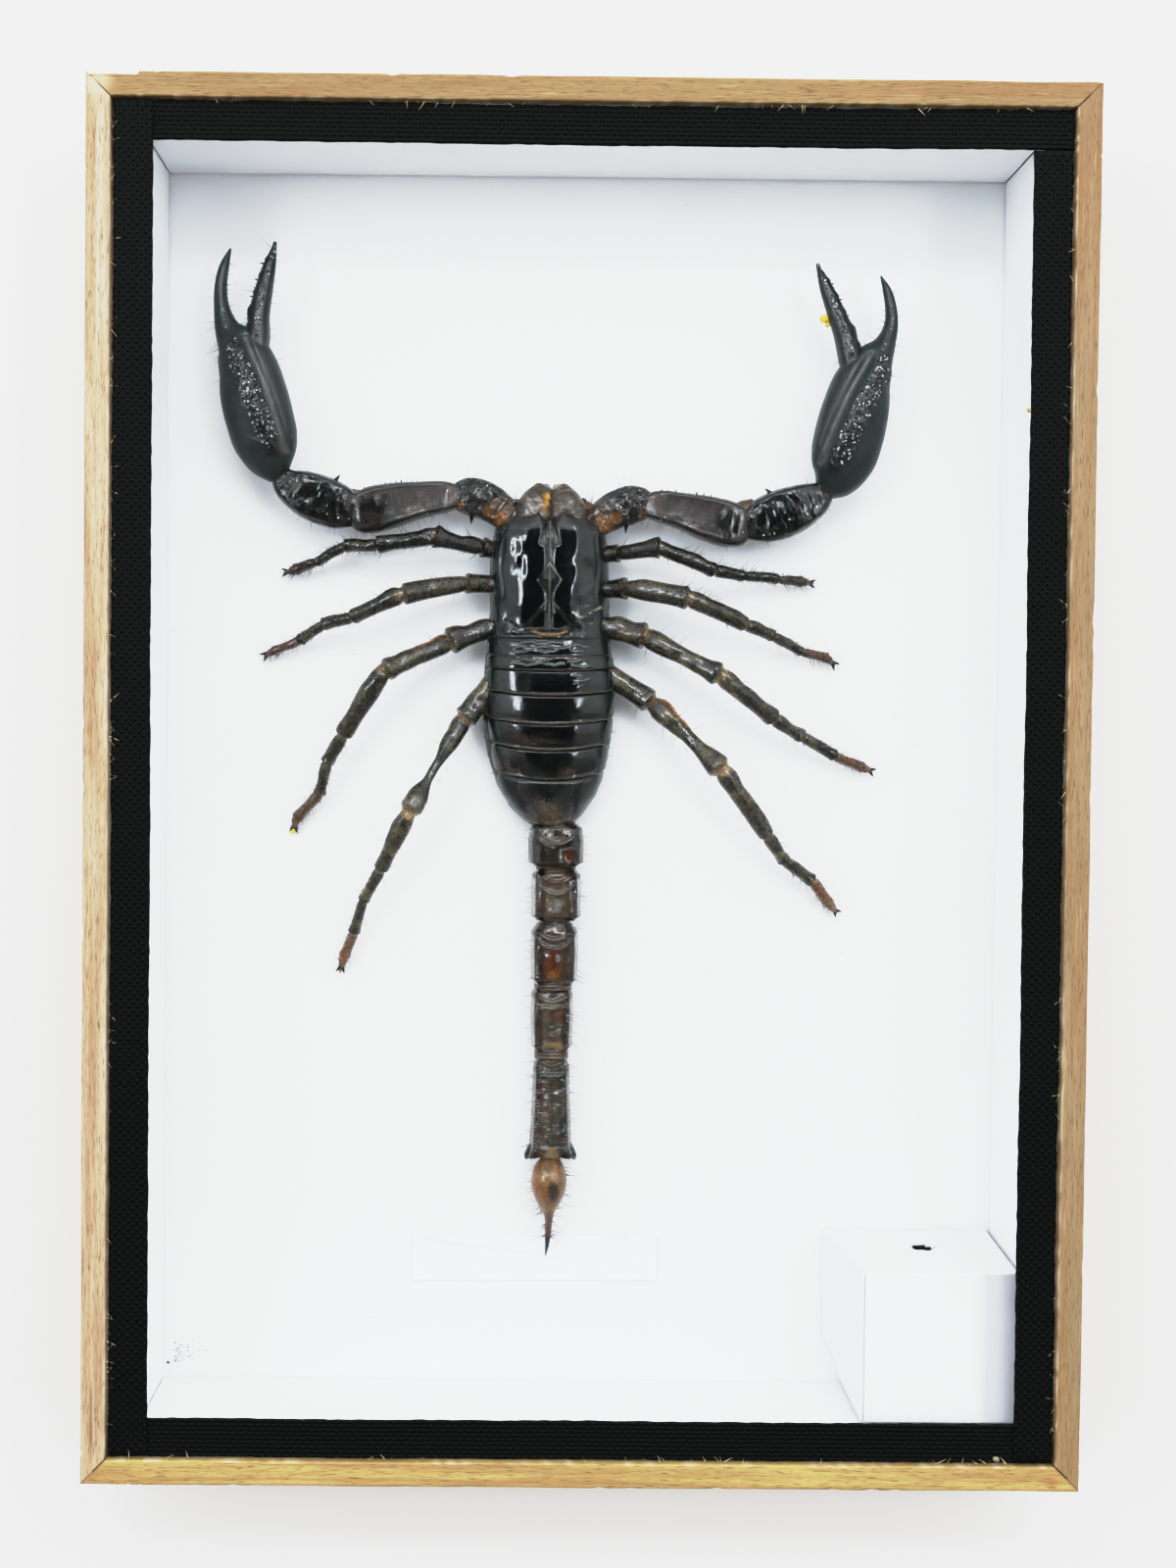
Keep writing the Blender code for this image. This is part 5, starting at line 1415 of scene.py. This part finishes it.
# what repeats: granules, teeth, hairs, stitches and fibres, placed by Geometry Nodes
def addScatterTree(name, kind):
    tree = bpy.data.node_groups.new(name, "GeometryNodeTree")
    face = tree.interface
    face.new_socket("Spots", in_out="INPUT", socket_type="NodeSocketGeometry")
    for label, start in (("Length", 0.001), ("Radius", 0.0001), ("Bend", 0.0), ("Unevenness", 0.3)):
        face.new_socket(label, in_out="INPUT", socket_type="NodeSocketFloat").default_value = start
    face.new_socket("Seed", in_out="INPUT", socket_type="NodeSocketInt").default_value = 7
    face.new_socket("Finish", in_out="INPUT", socket_type="NodeSocketMaterial")
    face.new_socket("Result", in_out="OUTPUT", socket_type="NodeSocketGeometry")
    given = addNode(tree, "NodeGroupInput").outputs
    if kind in ("bead", "stitch"):
        fineness = {"Radius": given["Radius"], "Subdivisions": 2 if kind == "bead" else 1}
        shape = addNode(tree, "GeometryNodeMeshIcoSphere", {}, fineness).outputs["Mesh"]
        if kind == "stitch":
            longer = doMath(tree, "MULTIPLY", doMath(tree, "DIVIDE", given["Length"], given["Radius"]), 0.5)
            stretch = addNode(tree, "ShaderNodeCombineXYZ", {}, {"X": longer, "Y": 1.0, "Z": 0.42})
            longShape = {"Geometry": shape, "Scale": stretch.outputs[0]}
            shape = addNode(tree, "GeometryNodeTransform", {}, longShape).outputs[0]
    else:
        sides, steps = (4, 5) if kind == "hair" else (8, 2)
        tip = doMath(tree, "MULTIPLY", given["Radius"], 0.12)
        shape = addNode(tree, "GeometryNodeMeshCone", {}, {
            "Vertices": sides, "Side Segments": steps, "Radius Top": tip, "Radius Bottom": given["Radius"],
            "Depth": given["Length"]}).outputs["Mesh"]
        position = addNode(tree, "GeometryNodeInputPosition").outputs[0]
        height = addNode(tree, "ShaderNodeSeparateXYZ", {}, {0: position})
        part = doMath(tree, "DIVIDE", height.outputs["Z"], given["Length"])
        lean = doMath(tree, "MULTIPLY", doMath(tree, "MULTIPLY", part, part), given["Bend"])
        push = addNode(tree, "ShaderNodeCombineXYZ", {}, {"X": lean}).outputs[0]
        shape = addNode(tree, "GeometryNodeSetPosition", {}, {"Geometry": shape, "Offset": push}).outputs[0]
    vector = {"data_type": "FLOAT_VECTOR"}
    turn, size = [
        addNode(tree, "GeometryNodeInputNamedAttribute", vector, {"Name": label}).outputs[0]
        for label in ("turn", "size")]
    least = doMath(tree, "SUBTRACT", 1.0, given["Unevenness"])
    most = doMath(tree, "ADD", 1.0, given["Unevenness"])
    chance = addNode(tree, "FunctionNodeRandomValue", {"data_type": "FLOAT"}, {
        2: least, 3: most, "Seed": given["Seed"]})
    scale = addNode(tree, "ShaderNodeVectorMath", {"operation": "SCALE"}, {
        0: size, "Scale": chance.outputs[1]})
    placed = addNode(tree, "GeometryNodeInstanceOnPoints", {}, {
        "Points": given["Spots"], "Instance": shape, "Rotation": turn, "Scale": scale.outputs[0]})
    real = addNode(tree, "GeometryNodeRealizeInstances", {}, {"Geometry": placed.outputs[0]})
    smooth = addNode(tree, "GeometryNodeSetShadeSmooth", {}, {"Geometry": real.outputs[0]})
    dressed = addNode(tree, "GeometryNodeSetMaterial", {}, {
        "Geometry": smooth.outputs[0], "Material": given["Finish"]})
    leave = addNode(tree, "NodeGroupOutput")
    tree.links.new(dressed.outputs[0], leave.inputs[0])
    return tree


def scatterPieces(name, tree, spots, turns, sizes, values, finish):
    # spots in millimetres, turns in radians, sizes as three shares
    base = bpy.data.meshes.new(name + "Spots")
    base.from_pydata((np.asarray(spots, float) * mm).tolist(), [], [])
    for label, data in (("turn", turns), ("size", sizes)):
        layer = base.attributes.new(label, "FLOAT_VECTOR", "POINT")
        layer.data.foreach_set("vector", np.broadcast_to(data, (len(spots), 3)).astype(np.float32).ravel())
    carrier = bpy.data.objects.new(name + "Spots", base)
    bpy.context.scene.collection.objects.link(carrier)
    modifier = carrier.modifiers.new("scatter", "NODES")
    modifier.node_group = tree
    for label, value in {**values, "Finish": finish}.items():
        modifier[tree.interface.items_tree[label].identifier] = value
    ready = carrier.evaluated_get(bpy.context.evaluated_depsgraph_get())
    mesh = bpy.data.meshes.new_from_object(ready)
    mesh.name = name
    bpy.data.objects.remove(carrier)
    for label in ("turn", "size"):
        if label in mesh.attributes:
            mesh.attributes.remove(mesh.attributes[label])
    piece = placePiece(name, mesh)
    print(name, len(spots), "repeats,", sum(len(p.vertices) - 2 for p in mesh.polygons), "triangles")
    return piece


def aimTurns(headings, rolls=None):
    turns = []
    for k, heading in enumerate(headings):
        quat = Vector(heading).to_track_quat("Z", "X")
        if rolls is not None:
            quat = quat @ Matrix.Rotation(rolls[k], 3, "Z").to_quaternion()
        turns.append(tuple(quat.to_euler()))
    return turns


beadTree, toothTree, hairTree, stitchTree = [
    addScatterTree(name, kind)
    for name, kind in (("beads", "bead"), ("teeth", "tooth"), ("hairs", "hair"), ("stitches", "stitch"))]
for side, (stitchSpots, stitchTurns) in tapeStitches.items():
    scatterPieces("stitches_" + side, stitchTree, stitchSpots, stitchTurns, (1, 1, 1),
                  {"Length": 1.18 * mm, "Radius": 0.26 * mm, "Unevenness": 0.08, "Seed": 11},
                  tapeThread)


def touchTree(name):
    mesh = bpy.data.objects[name].data
    return BVHTree.FromPolygons([v.co for v in mesh.vertices], [tuple(p.vertices) for p in mesh.polygons])


def dropOnto(tree, x, y):
    hit, normal, index, far = tree.ray_cast(Vector((x * mm, y * mm, 0.04)), Vector((0, 0, -1)))
    return (None, None) if hit is None else (np.array(hit) / mm, np.array(normal))


def alongLine(points, share):
    points = np.asarray(points, float)
    spot = np.concatenate([[0], np.cumsum(np.linalg.norm(np.diff(points[:, :2], axis=0), axis=1))])
    return np.array([np.interp(share * spot[-1], spot, points[:, k]) for k in range(points.shape[1])])


def spreadAlong(chance, line, half, count, apart):
    # spots scattered over a band round a line, none closer than a set distance
    kept = []
    for attempt in range(count * 30):
        share = chance.random()
        a, b = alongLine(line, max(share - 0.02, 0)), alongLine(line, min(share + 0.02, 1))
        heading = (b - a)[:2] / (np.linalg.norm((b - a)[:2]) + 1e-9)
        taper = min(1.0, 6 * share + 0.25, 6 * (1 - share) + 0.3)
        spot = (a + b)[:2] / 2 + np.array([-heading[1], heading[0]]) * chance.uniform(-half, half) * taper
        if all((spot[0] - k[0]) ** 2 + (spot[1] - k[1]) ** 2 > apart ** 2 for k in kept):
            kept.append(spot)
        if len(kept) >= count:
            break
    return kept


granules = {
    "seed": 4, "radius": 0.1, "sink": 0.25, "handCount": 420, "handHalf": 1.65, "fingerCount": 60,
    "patellaCount": 52, "ringPitch": 0.52, "lastRingCount": 190, "bulbHairs": 30, "ringHairs": 8,
    "legHairs": 60,
}


def gatherGranules():
    chance = random.Random(granules["seed"])
    trees = {key: touchTree("scorpion" + key) for key in ("Hands", "Arms", "Tail", "Trunk", "Legs")}
    spots, sizes = [], []

    def drop(key, x, y, size):
        hit, normal = dropOnto(trees[key], x, y)
        if hit is not None and hit[2] > 4.5:
            spots.append(hit - normal * size * granules["radius"] * granules["sink"])
            sizes.append(size)

    def scatter(key, line, half, count, apart, least, most):
        for x, y in spreadAlong(chance, line, half, count, apart):
            drop(key, x, y, chance.uniform(least, most))

    for arm in arms.values():
        scatter("Hands", arm["band"], granules["handHalf"], granules["handCount"], 0.23, 1.0, 2.4)
        scatter("Hands", arm["finger"][1:], 0.42, granules["fingerCount"], 0.2, 1.0, 2.0)
        scatter("Hands", arm["hand"][6:10], 0.3, 16, 0.4, 0.8, 1.3)
        lower = [(p[0], p[1] - 0.24 * p[3]) for p in arm["patella"]]
        upper = [(p[0], p[1] + 0.20 * p[3]) for p in arm["patella"]]
        scatter("Arms", lower[1:], 0.35, granules["patellaCount"], 0.3, 1.2, 2.3)
        scatter("Arms", upper[1:], 0.1, 22, 0.35, 0.8, 1.4)
        scatter("Arms", arm["femur"][2:], 2.2, 90, 0.5, 0.5, 1.1)
        for share in np.linspace(0.1, 1, 26):
            x, y = alongLine([(p[0], p[1] - 0.46 * p[3]) for p in arm["femur"][1:]], share)
            drop("Arms", x, y, chance.uniform(1.0, 1.6))
        scatter("Arms", arm["coxa"][1:4], 2.6, 70, 0.45, 0.9, 3.0)
    for ring in tail["rings"]:
        front, rear = ring["y"]
        for sign in (-1, 1):
            for y in np.arange(front - 0.6, rear + 0.3, -granules["ringPitch"]):
                share = (front - y) / (front - rear)
                half = np.interp(share, (0, 0.4, 1), ring["widths"]) / 2
                for reach, size in ((0.74, 1.5), (0.93, 1.2)):
                    x, jitter = ring["x"] + sign * half * reach, chance.uniform(-0.08, 0.08)
                    drop("Tail", x, y + jitter, size * chance.uniform(0.8, 1.2))
    for k in range(granules["lastRingCount"]):
        x, y = -4.7 + chance.uniform(-2.6, 2.6), chance.uniform(-61.0, -45.5)
        drop("Tail", x, y, chance.uniform(0.4, 0.9))
    for k in range(70):
        turn, reach = chance.uniform(0, math.tau), chance.uniform(0.6, 1.0)
        x, y = -5.4 + 6.0 * math.cos(turn) * reach, -3.2 - 3.2 * abs(math.sin(turn)) * reach
        drop("Trunk", x, y, chance.uniform(0.5, 1.2))
    return spots, sizes


def gatherTeeth():
    spots, headings, sizes = [], [], []
    for sideName, inward in (("left", -1), ("right", 1)):
        arm = arms[sideName]
        number, long = (17, 0.55) if sideName == "left" else (10, 1.0)
        for share in np.linspace(0.04, 0.96, number):
            x, y, z = alongLine(arm["teethEdge"], share)
            spots.append((x, y - 0.35, z - 0.4))
            headings.append((0.25 * inward, 1.0, 0.35))
            sizes.append(long * (0.8 + 0.4 * ((int(share * 100) * 7) % 5) / 5))
        for key, count, chosen, biting in (("finger", 60, range(12, 52, 2), inward),
                                           ("hand", 100, range(70, 94, 2), -inward)):
            rows = smoothTable(arm[key], count)
            for k in chosen:
                ahead = rows[k + 1, :3] - rows[k - 1, :3]
                across = np.cross(ahead / np.linalg.norm(ahead), (0, 0, 1.0)) * biting
                spots.append(tuple(rows[k, :3] + across * (rows[k, 3] / 2 - 0.12)))
                headings.append(tuple(across))
                sizes.append(0.34 if key == "hand" else 0.42 if k % 8 else 0.7)
    return spots, headings, sizes


def gatherHairs():
    chance = random.Random(granules["seed"] + 9)
    spots, headings, sizes = [], [], []

    def grow(spot, heading, size):
        heading = np.array(heading, float) + np.array([chance.gauss(0, 0.28) for k in range(3)])
        heading /= np.linalg.norm(heading)
        end = np.array(spot) + heading * size * 2.0
        if end[2] < floorTop + 0.2:
            heading[2] = abs(heading[2])
        spots.append(tuple(spot))
        headings.append(tuple(heading))
        sizes.append(size * chance.uniform(0.45, 1.6))

    def sprout(spot, heading, least, most):
        grow(spot, heading, chance.uniform(least, most))

    def fringe(rows, count, low, high, reach, forward):
        for k in range(count):
            share = low + (high - low) * chance.random() ** 0.8
            row = alongLine(rows, share)
            ahead = alongLine(rows, min(share + 0.02, 1)) - alongLine(rows, max(share - 0.02, 0))
            ahead = ahead[:3] / (np.linalg.norm(ahead[:3]) + 1e-9)
            across = np.cross(ahead, (0, 0, 1.0)) * (1 if k % 2 else -1)
            spot = row[:3] + np.array([0, 0, floorTop]) + across * row[3] * 0.45
            rise = np.array([0, 0, chance.uniform(-0.3, 1) * 0.15])
            grow(spot, across + ahead * forward + rise, chance.uniform(*reach))

    for joints in legs.values():
        rows = legRows("", joints)[0]
        fringe(rows, granules["legHairs"], 0.12, 0.99, (0.45, 0.85), 0.7)
        fringe(rows, 60, 0.62, 0.99, (0.25, 0.5), 0.9)
    for sideName, inward in (("left", -1), ("right", 1)):
        arm = arms[sideName]
        for key, count, low, reach in (("hand", 30, 0.42, (0.55, 1.0)), ("finger", 22, 0.15, (0.4, 0.8)),
                                       ("patella", 16, 0.1, (0.5, 0.9)), ("femur", 30, 0.05, (0.35, 0.8))):
            fringe(arm[key], count, low, 0.95, reach, 0.1)
        knob = np.array(arm["coxa"][2][:3]) + np.array([0, 2.4, floorTop + 1.2])
        for k in range(9):
            spot = knob + np.array([chance.uniform(-2.2, 2.2), chance.uniform(-0.5, 0.3), 0])
            sprout(spot, (0.5 * -inward, 1.0, 0.25), 0.9, 1.6)
    for x in (-12.0, -0.2):
        for k in range(16):
            spot = (x + chance.uniform(-1.1, 1.1), 45.2 + chance.uniform(-0.4, 0.9), floorTop + 5.0)
            sprout(spot, ((x + 6) * 0.06, 1.0, 0.4), 0.8, 1.5)
    for number, ring in enumerate(tail["rings"]):
        rows = [(ring["x"], ring["y"][k], 4.4, ring["widths"][k * 2]) for k in (0, 1)]
        fringe(rows, granules["ringHairs"] * (4 if number == 4 else 2), 0.05, 0.95, (0.6, 1.2), 0.25)
    rows = [(x, y, z, w) for y, w, d, z, x in bulb["stations"]]
    fringe(rows, granules["bulbHairs"] * 3, 0.1, 0.8, (0.6, 1.25), 0.3)
    for k in range(34):
        y = chance.uniform(-5.0, 16.0)
        sign = 1 if k % 2 else -1
        half = float(np.interp(-y, [-s for s in softBody["stations"]], softBody["halfWidth"]))
        sprout((-5.7 + sign * half * 0.97, y, floorTop + 4.4), (sign, -0.3, 0.1), 0.2, 0.45)
    return spots, headings, sizes


beadFinish = speckledFinish(
    "granuleGloss", {"Roughness": 0.16, "Coat Weight": 0.7, "Coat Roughness": 0.05}, 700.0,
    ((0.4, (0.0015, 0.0025, 0.0025)), (0.65, (0.008, 0.009, 0.008))))
hairFinish = speckledFinish(
    "hairBrown", {"Roughness": 0.4}, 260.0, ((0.38, (0.02, 0.009, 0.005)), (0.62, (0.08, 0.038, 0.02))))
glintBeadFinish = speckledFinish(
    "granuleGlint", {"Roughness": 0.22, "Coat Weight": 0.6, "Coat Roughness": 0.08}, 900.0,
    ((0.38, (0.05, 0.055, 0.055)), (0.62, (0.55, 0.58, 0.6))))
beadSpots, beadSizes = gatherGranules()
beadTurns = np.random.default_rng(3).uniform(0, math.tau, (len(beadSpots), 3))
# a share of the larger beads is made pale all over: painted sparkle highlights, partly standing for whitish
# wax
wearAndGlint = np.array([k % 7 in (1, 4) for k in range(len(beadSpots))]) & (np.array(beadSizes) > 1.05)
wearAndGlint &= np.array([spot[1] > 50.5 or k % 4 == 0 for k, spot in enumerate(beadSpots)])
for pieceName, chosen, beadTone in (("scorpionGranules", ~wearAndGlint, beadFinish),
                                    ("scorpionGranulesGlint", wearAndGlint, glintBeadFinish)):
    scatterPieces(pieceName, beadTree, np.array(beadSpots)[chosen], beadTurns[chosen],
                  np.array(beadSizes)[chosen][:, None] * (1.0, 0.8, 0.9),
                  {"Radius": granules["radius"] * mm, "Unevenness": 0.2, "Seed": 3}, beadTone)
toothSpots, toothHeadings, toothSizes = gatherTeeth()
scatterPieces("scorpionTeeth", toothTree, [(x, y, z + floorTop) for x, y, z in toothSpots],
              aimTurns(toothHeadings), np.array(toothSizes)[:, None],
              {"Length": 1.0 * mm, "Radius": 0.26 * mm, "Unevenness": 0.15, "Seed": 5}, beadFinish)
hairSpots, hairHeadings, hairSizes = gatherHairs()
hairRolls = np.random.default_rng(8).uniform(0, math.tau, len(hairSpots))
scatterPieces("scorpionHairs", hairTree, hairSpots, aimTurns(hairHeadings, hairRolls),
              spotsAt(1.0, 1.0, hairSizes),
              {"Length": 2.0 * mm, "Radius": 0.05 * mm, "Bend": 0.35 * mm, "Unevenness": 0.1, "Seed": 6},
              hairFinish)


def gatherSplinters():
    chance = random.Random(21)
    spots, headings, sizes = [], [], []
    for k in range(230):
        flat, sign = sideOf(chance.choice(("left", "left", "left", "right", "right", "bottom", "top")))
        reach = 71 if flat else 101
        along = chance.choice((-0.86, -0.41, 0.06, 0.33, 0.58, 0.9)) * reach + chance.gauss(0, 7.0)
        if abs(along) > reach:
            continue
        across = sign * ((104.6 if flat else 73.6) + chance.uniform(-0.35, 0.1))
        lean = chance.uniform(-1.6, 1.6)
        spots.append((along, across, 31.35) if flat else (across, along, 31.35))
        headings.append((lean, -sign, 0.0) if flat else (-sign, lean, 0.0))
        sizes.append(chance.uniform(0.25, 0.9))
    return spots, headings, sizes


splinterFinish = speckledFinish(
    "splinterWood", {"Roughness": 0.7}, 500.0, ((0.4, (0.42, 0.30, 0.15)), (0.62, (0.72, 0.60, 0.40))))
splinterSpots, splinterHeadings, splinterSizes = gatherSplinters()
scatterPieces("splinters", hairTree, splinterSpots, aimTurns(splinterHeadings),
              np.array(splinterSizes)[:, None] + (0.4, 0.0, 0.0),
              {"Length": 1.7 * mm, "Radius": 0.11 * mm, "Bend": 0.3 * mm, "Unevenness": 0.2, "Seed": 9},
              splinterFinish)


# paper slip, folded card cube, card walls and the dirt of years
slip = {"low": (-27.5, -83.4), "high": (13.3, -76.0), "lift": 3.43, "curl": 0.5, "thick": 0.12}


def addSlip():
    pot = MeshPot()
    u, v = np.meshgrid(np.linspace(0, 1, 90), np.linspace(0, 1, 24), indexing="ij")
    x = slip["low"][0] + (slip["high"][0] - slip["low"][0]) * u
    y = slip["low"][1] + (slip["high"][1] - slip["low"][1]) * v + 0.35 * u
    wave = latticeNoise(spotsAt(u * 3, v * 1.2, 0.0), 44)
    curled = ease(0.8, 1.0, u) ** 2 + ease(0.1, 0.0, u) ** 2
    z = slip["lift"] + slip["thick"] + 0.05 * (1 + wave) + slip["curl"] * curled * 0.5
    pot.addPlate(np.stack([x, y, z], -1), (0.8, 0.8, 0.8), (0.6, 0, 0), slip["thick"])
    finish, tree, shader = startFinish("slipPaper", {"Roughness": 0.72, "Specular IOR Level": 0.25})
    place = objectPlace(tree)
    fibre = addNoise(tree, place, 1700.0, 4.0, 0.65)
    cloud = addNoise(tree, place, 120.0, 3.0)
    share = addRamp(tree, cloud, ((0.35, 0.0), (0.65, 1.0)))
    body = mixTones(tree, share, (0.83, 0.85, 0.93), (0.80, 0.82, 0.905))
    body = mixTones(tree, addRamp(tree, fibre, ((0.6, 0.0), (0.75, 0.3))), body, (0.74, 0.76, 0.85))
    tree.links.new(body, shader.inputs["Base Color"])
    addBump(tree, shader, fibre, 0.4, 0.00003)
    pot.build("paperSlip", finish, "paper", ("label",))


cube = {
    "x": (43.95, 68.45), "y": (-99.05, -75.3), "z": (3.42, 27.6), "wall": 0.5, "fold": 0.35,
    "flare": (2.9, 1.4),
    "hole": {"x": 56.7, "z": 13.4, "half": (1.45, 1.5), "slitEnd": 61.2},
}


def foldedCardFinish():
    finish, tree, shader = startFinish("foldedCard", {"Roughness": 0.6, "Specular IOR Level": 0.3})
    place = objectPlace(tree)
    fibre = addNoise(tree, place, 2100.0, 4.0, 0.65)
    cloud = addNoise(tree, place, 70.0, 3.0)
    marks = addNode(tree, "ShaderNodeSeparateColor", {}, {0: readAttribute(tree, "finish")})
    share = addRamp(tree, cloud, ((0.35, 0.0), (0.65, 1.0)))
    body = mixTones(tree, share, (0.83, 0.83, 0.85), (0.79, 0.79, 0.81))
    body = mixTones(tree, addRamp(tree, fibre, ((0.6, 0.0), (0.78, 0.25))), body, (0.72, 0.71, 0.71))
    # the brown mark tints the seam and the torn edges; the grey mark is painted shade
    body = mixTones(tree, marks.outputs[1], body, (0.20, 0.17, 0.145))
    body = mixTones(tree, marks.outputs[2], body, (0.36, 0.365, 0.385))
    tree.links.new(body, shader.inputs["Base Color"])
    addBump(tree, shader, fibre, 0.4, 0.00004)
    return finish


def addCube():
    # six sheets folded from one card; the upper end has a torn hole with a slit beside it
    pot = MeshPot()
    (x0, x1), (y0, y1), (z0, z1) = cube["x"], cube["y"], cube["z"]
    middle = np.array([(x0 + x1) / 2, (y0 + y1) / 2, (z0 + z1) / 2])
    half = np.array([x1 - x0, y1 - y0, z1 - z0]) / 2
    r = cube["fold"]
    lines = [np.linspace(-1, 1, 61) for k in range(3)]
    for k, low, high in ((0, -0.18, 0.48), (2, -0.22, 0.30)):
        lines[k] = np.concatenate([
            np.linspace(-1, low, 14)[:-1], np.linspace(low, high, 76), np.linspace(high, 1, 14)[1:]])
    lines[0] = np.unique(np.concatenate([lines[0], np.linspace(-1, -0.92, 14)]).round(6))
    lines[1] = np.linspace(-1, 1, 25)
    for k in range(3):
        fold = 1 - r / half[k] * np.array([1.0, 0.66, 0.33])
        lines[k] = np.unique(np.concatenate([lines[k], fold, -fold]).round(6))
    for axis in range(3):
        for sign in (-1, 1):
            others = [k for k in range(3) if k != axis]
            a, b = np.meshgrid(lines[others[0]], lines[others[1]], indexing="ij")
            unit = np.zeros((*a.shape, 3))
            unit[..., others[0]], unit[..., others[1]], unit[..., axis] = a, b, sign
            spot = unit * half
            inner = np.clip(spot, -(half - r), half - r)
            away = spot - inner
            away /= np.linalg.norm(away, axis=-1)[..., None] + 1e-9
            bow = (1 - a ** 2) * (1 - b ** 2)
            noise = latticeNoise(spotsAt(a * 3, b * 3, axis * 7 + sign), 71)
            point = inner + away * r + middle
            sunk = (0.10 + 0.07 * noise) * ease(0, 0.25, bow) * (0.4 if axis == 2 else 1)
            point[..., axis] -= sign * sunk
            marks = np.zeros((*a.shape, 3))
            marks[..., 0] = 0.6
            keep = np.ones(a.shape, bool)
            if axis == 2 and sign == 1:
                seam = bell(point[..., 0] - x0 - 0.4, 0.13) * ease(y1, y1 - 0.5, point[..., 1])
                point[..., 2] -= 0.14 * seam
                marks[..., 1] = 0.95 * seam
                # painted shade over the right part of the top and along its front fold
                marks[..., 2] = np.maximum(0.85 * ease(x1 - 7.4, x1 - 4.6, point[..., 0]),
                                           0.5 * ease(y0 + 1.7, y0 + 0.6, point[..., 1]))
            if axis == 1 and sign == 1:
                hole = cube["hole"]
                px, pz = point[..., 0] - hole["x"], point[..., 2] - hole["z"]
                torn = latticeNoise(spotsAt(px * 1.6, pz * 1.6, 0.0), 72)
                reach = np.hypot(px / hole["half"][0], pz / hole["half"][1]) + 0.22 * torn
                beyond = (px < 1.0) | (px > hole["slitEnd"] - hole["x"])
                slit = np.abs(pz + 0.35 * (px - 1.3)) + 10 * beyond
                keep = (reach > 1.0) & (slit > 0.16 - 0.04 * px)
                edge = ease(1.55, 1.02, reach) + ease(0.55, 0.1, slit)
                point[..., 1] -= 0.35 * ease(1.6, 1.0, reach) + 0.12 * ease(0.5, 0.1, slit)
                marks[..., 1] = 0.5 * np.clip(edge, 0, 1) ** 2
            low = 1 - (point[..., 2] - z0) / (z1 - z0)
            if axis < 2:
                shade = 0.1 + 0.35 * ease(0.06, 0.0, 1 - low) + 0.06 * (axis == 1)
                marks[..., 2] = np.maximum(marks[..., 2], shade)
            leftward, upward = cube["flare"]
            splay = ease(y0, y0 + 8, point[..., 1]) * (x1 - point[..., 0]) / (x1 - x0)
            point[..., 0] -= leftward * low * splay
            point[..., 1] += upward * low * (point[..., 1] - y0) / (y1 - y0)
            start = pot.addPoints(point, (0.8, 0.8, 0.8), marks.reshape(-1, 3))
            rows, columns = a.shape
            i, j = np.meshgrid(np.arange(rows - 1), np.arange(columns - 1), indexing="ij")
            solid = keep[:-1, :-1] & keep[1:, :-1] & keep[:-1, 1:] & keep[1:, 1:]
            first, second = i * columns + j, (i + 1) * columns + j
            quads = np.stack([first, first + 1, second + 1, second], -1)[solid]
            if (sign == 1) != (axis == 1):
                quads = quads[:, ::-1]
            pot.faces += (quads + start).tolist()
    piece = pot.build("cardCube", foldedCardFinish(), "box_card", ("card_box",))
    wall = piece.modifiers.new("wall", "SOLIDIFY")
    wall.thickness = cube["wall"] * mm
    wall.offset = -1.0


addSlip()
addCube()
for nodeName in ("top_lining", "bottom_lining", "left_lining", "right_lining"):
    dressCadNode(nodeName, cardFinish("card_" + nodeName, (0.85, 0.855, 0.865), 0.25, 0.02))


def addDirt():
    # crumbs and specks that have gathered behind and on the glass edge
    pot = MeshPot()
    chance = random.Random(12)
    crumbs = [(-64.6, 101.8, 3.4, 0.35, (0.12, 0.09, 0.06)), (67.0, 58.6, 31.1, 0.42, (0.42, 0.30, 0.13)),
              (38.2, 75.8, 11.2, 0.75, (0.62, 0.46, 0.05)), (38.7, 74.9, 11.2, 0.5, (0.62, 0.46, 0.05)),
              (-47.9, -8.3, 4.3, 0.5, (0.62, 0.52, 0.08)), (-39.6, -29.4, 4.6, 0.55, (0.60, 0.50, 0.09)),
              (-68.2, -97.6, 3.5, 0.3, (0.10, 0.09, 0.08)), (64.6, -103.6, 31.1, 0.5, (0.35, 0.31, 0.24))]
    for k in range(70):
        x, y = chance.uniform(-68, 68), chance.uniform(-99, 99)
        size = chance.uniform(0.07, 0.16)
        tone = chance.choice(((0.5, 0.47, 0.42), (0.3, 0.26, 0.2), (0.75, 0.75, 0.72)))
        crumbs.append((x, y, 3.12, size, tone))
    for k in range(46):
        x, y = -67.6 + abs(chance.gauss(0, 2.2)), -97.6 + abs(chance.gauss(0, 1.6))
        crumbs.append((x, y, 3.12, chance.uniform(0.08, 0.2), (0.42, 0.42, 0.42)))
    for x, y, z, size, tone in crumbs:
        turn = np.linspace(0, math.tau, 9)[:-1]
        levels = np.linspace(0, 1, 5)
        ring = np.sin(np.pi * np.clip(levels, 0.08, 0.92))[:, None] * size
        lump = np.array([[chance.uniform(0.75, 1.2) for a in turn] for b in levels])
        gx = x + ring * np.cos(turn) * lump
        gy = y + ring * np.sin(turn) * lump
        gz = z + (levels[:, None] * 1.1 * size) * np.ones_like(gx)
        pot.addRings(np.stack([gx, gy, gz], -1), tone, (0.7, 0, 0))
    finish, tree, shader = startFinish("crumb", {"Roughness": 0.75})
    grit = addNoise(tree, objectPlace(tree), 2600.0, 3.0)
    share = addRamp(tree, grit, ((0.4, 0.0), (0.7, 0.4)))
    body = mixTones(tree, share, readAttribute(tree, "tone"), (0.12, 0.10, 0.07))
    tree.links.new(body, shader.inputs["Base Color"])
    addBump(tree, shader, grit, 0.6, 0.00006)
    pot.build("crumbs", finish, "white_card")


addDirt()
print("slip, cube and dirt ready")
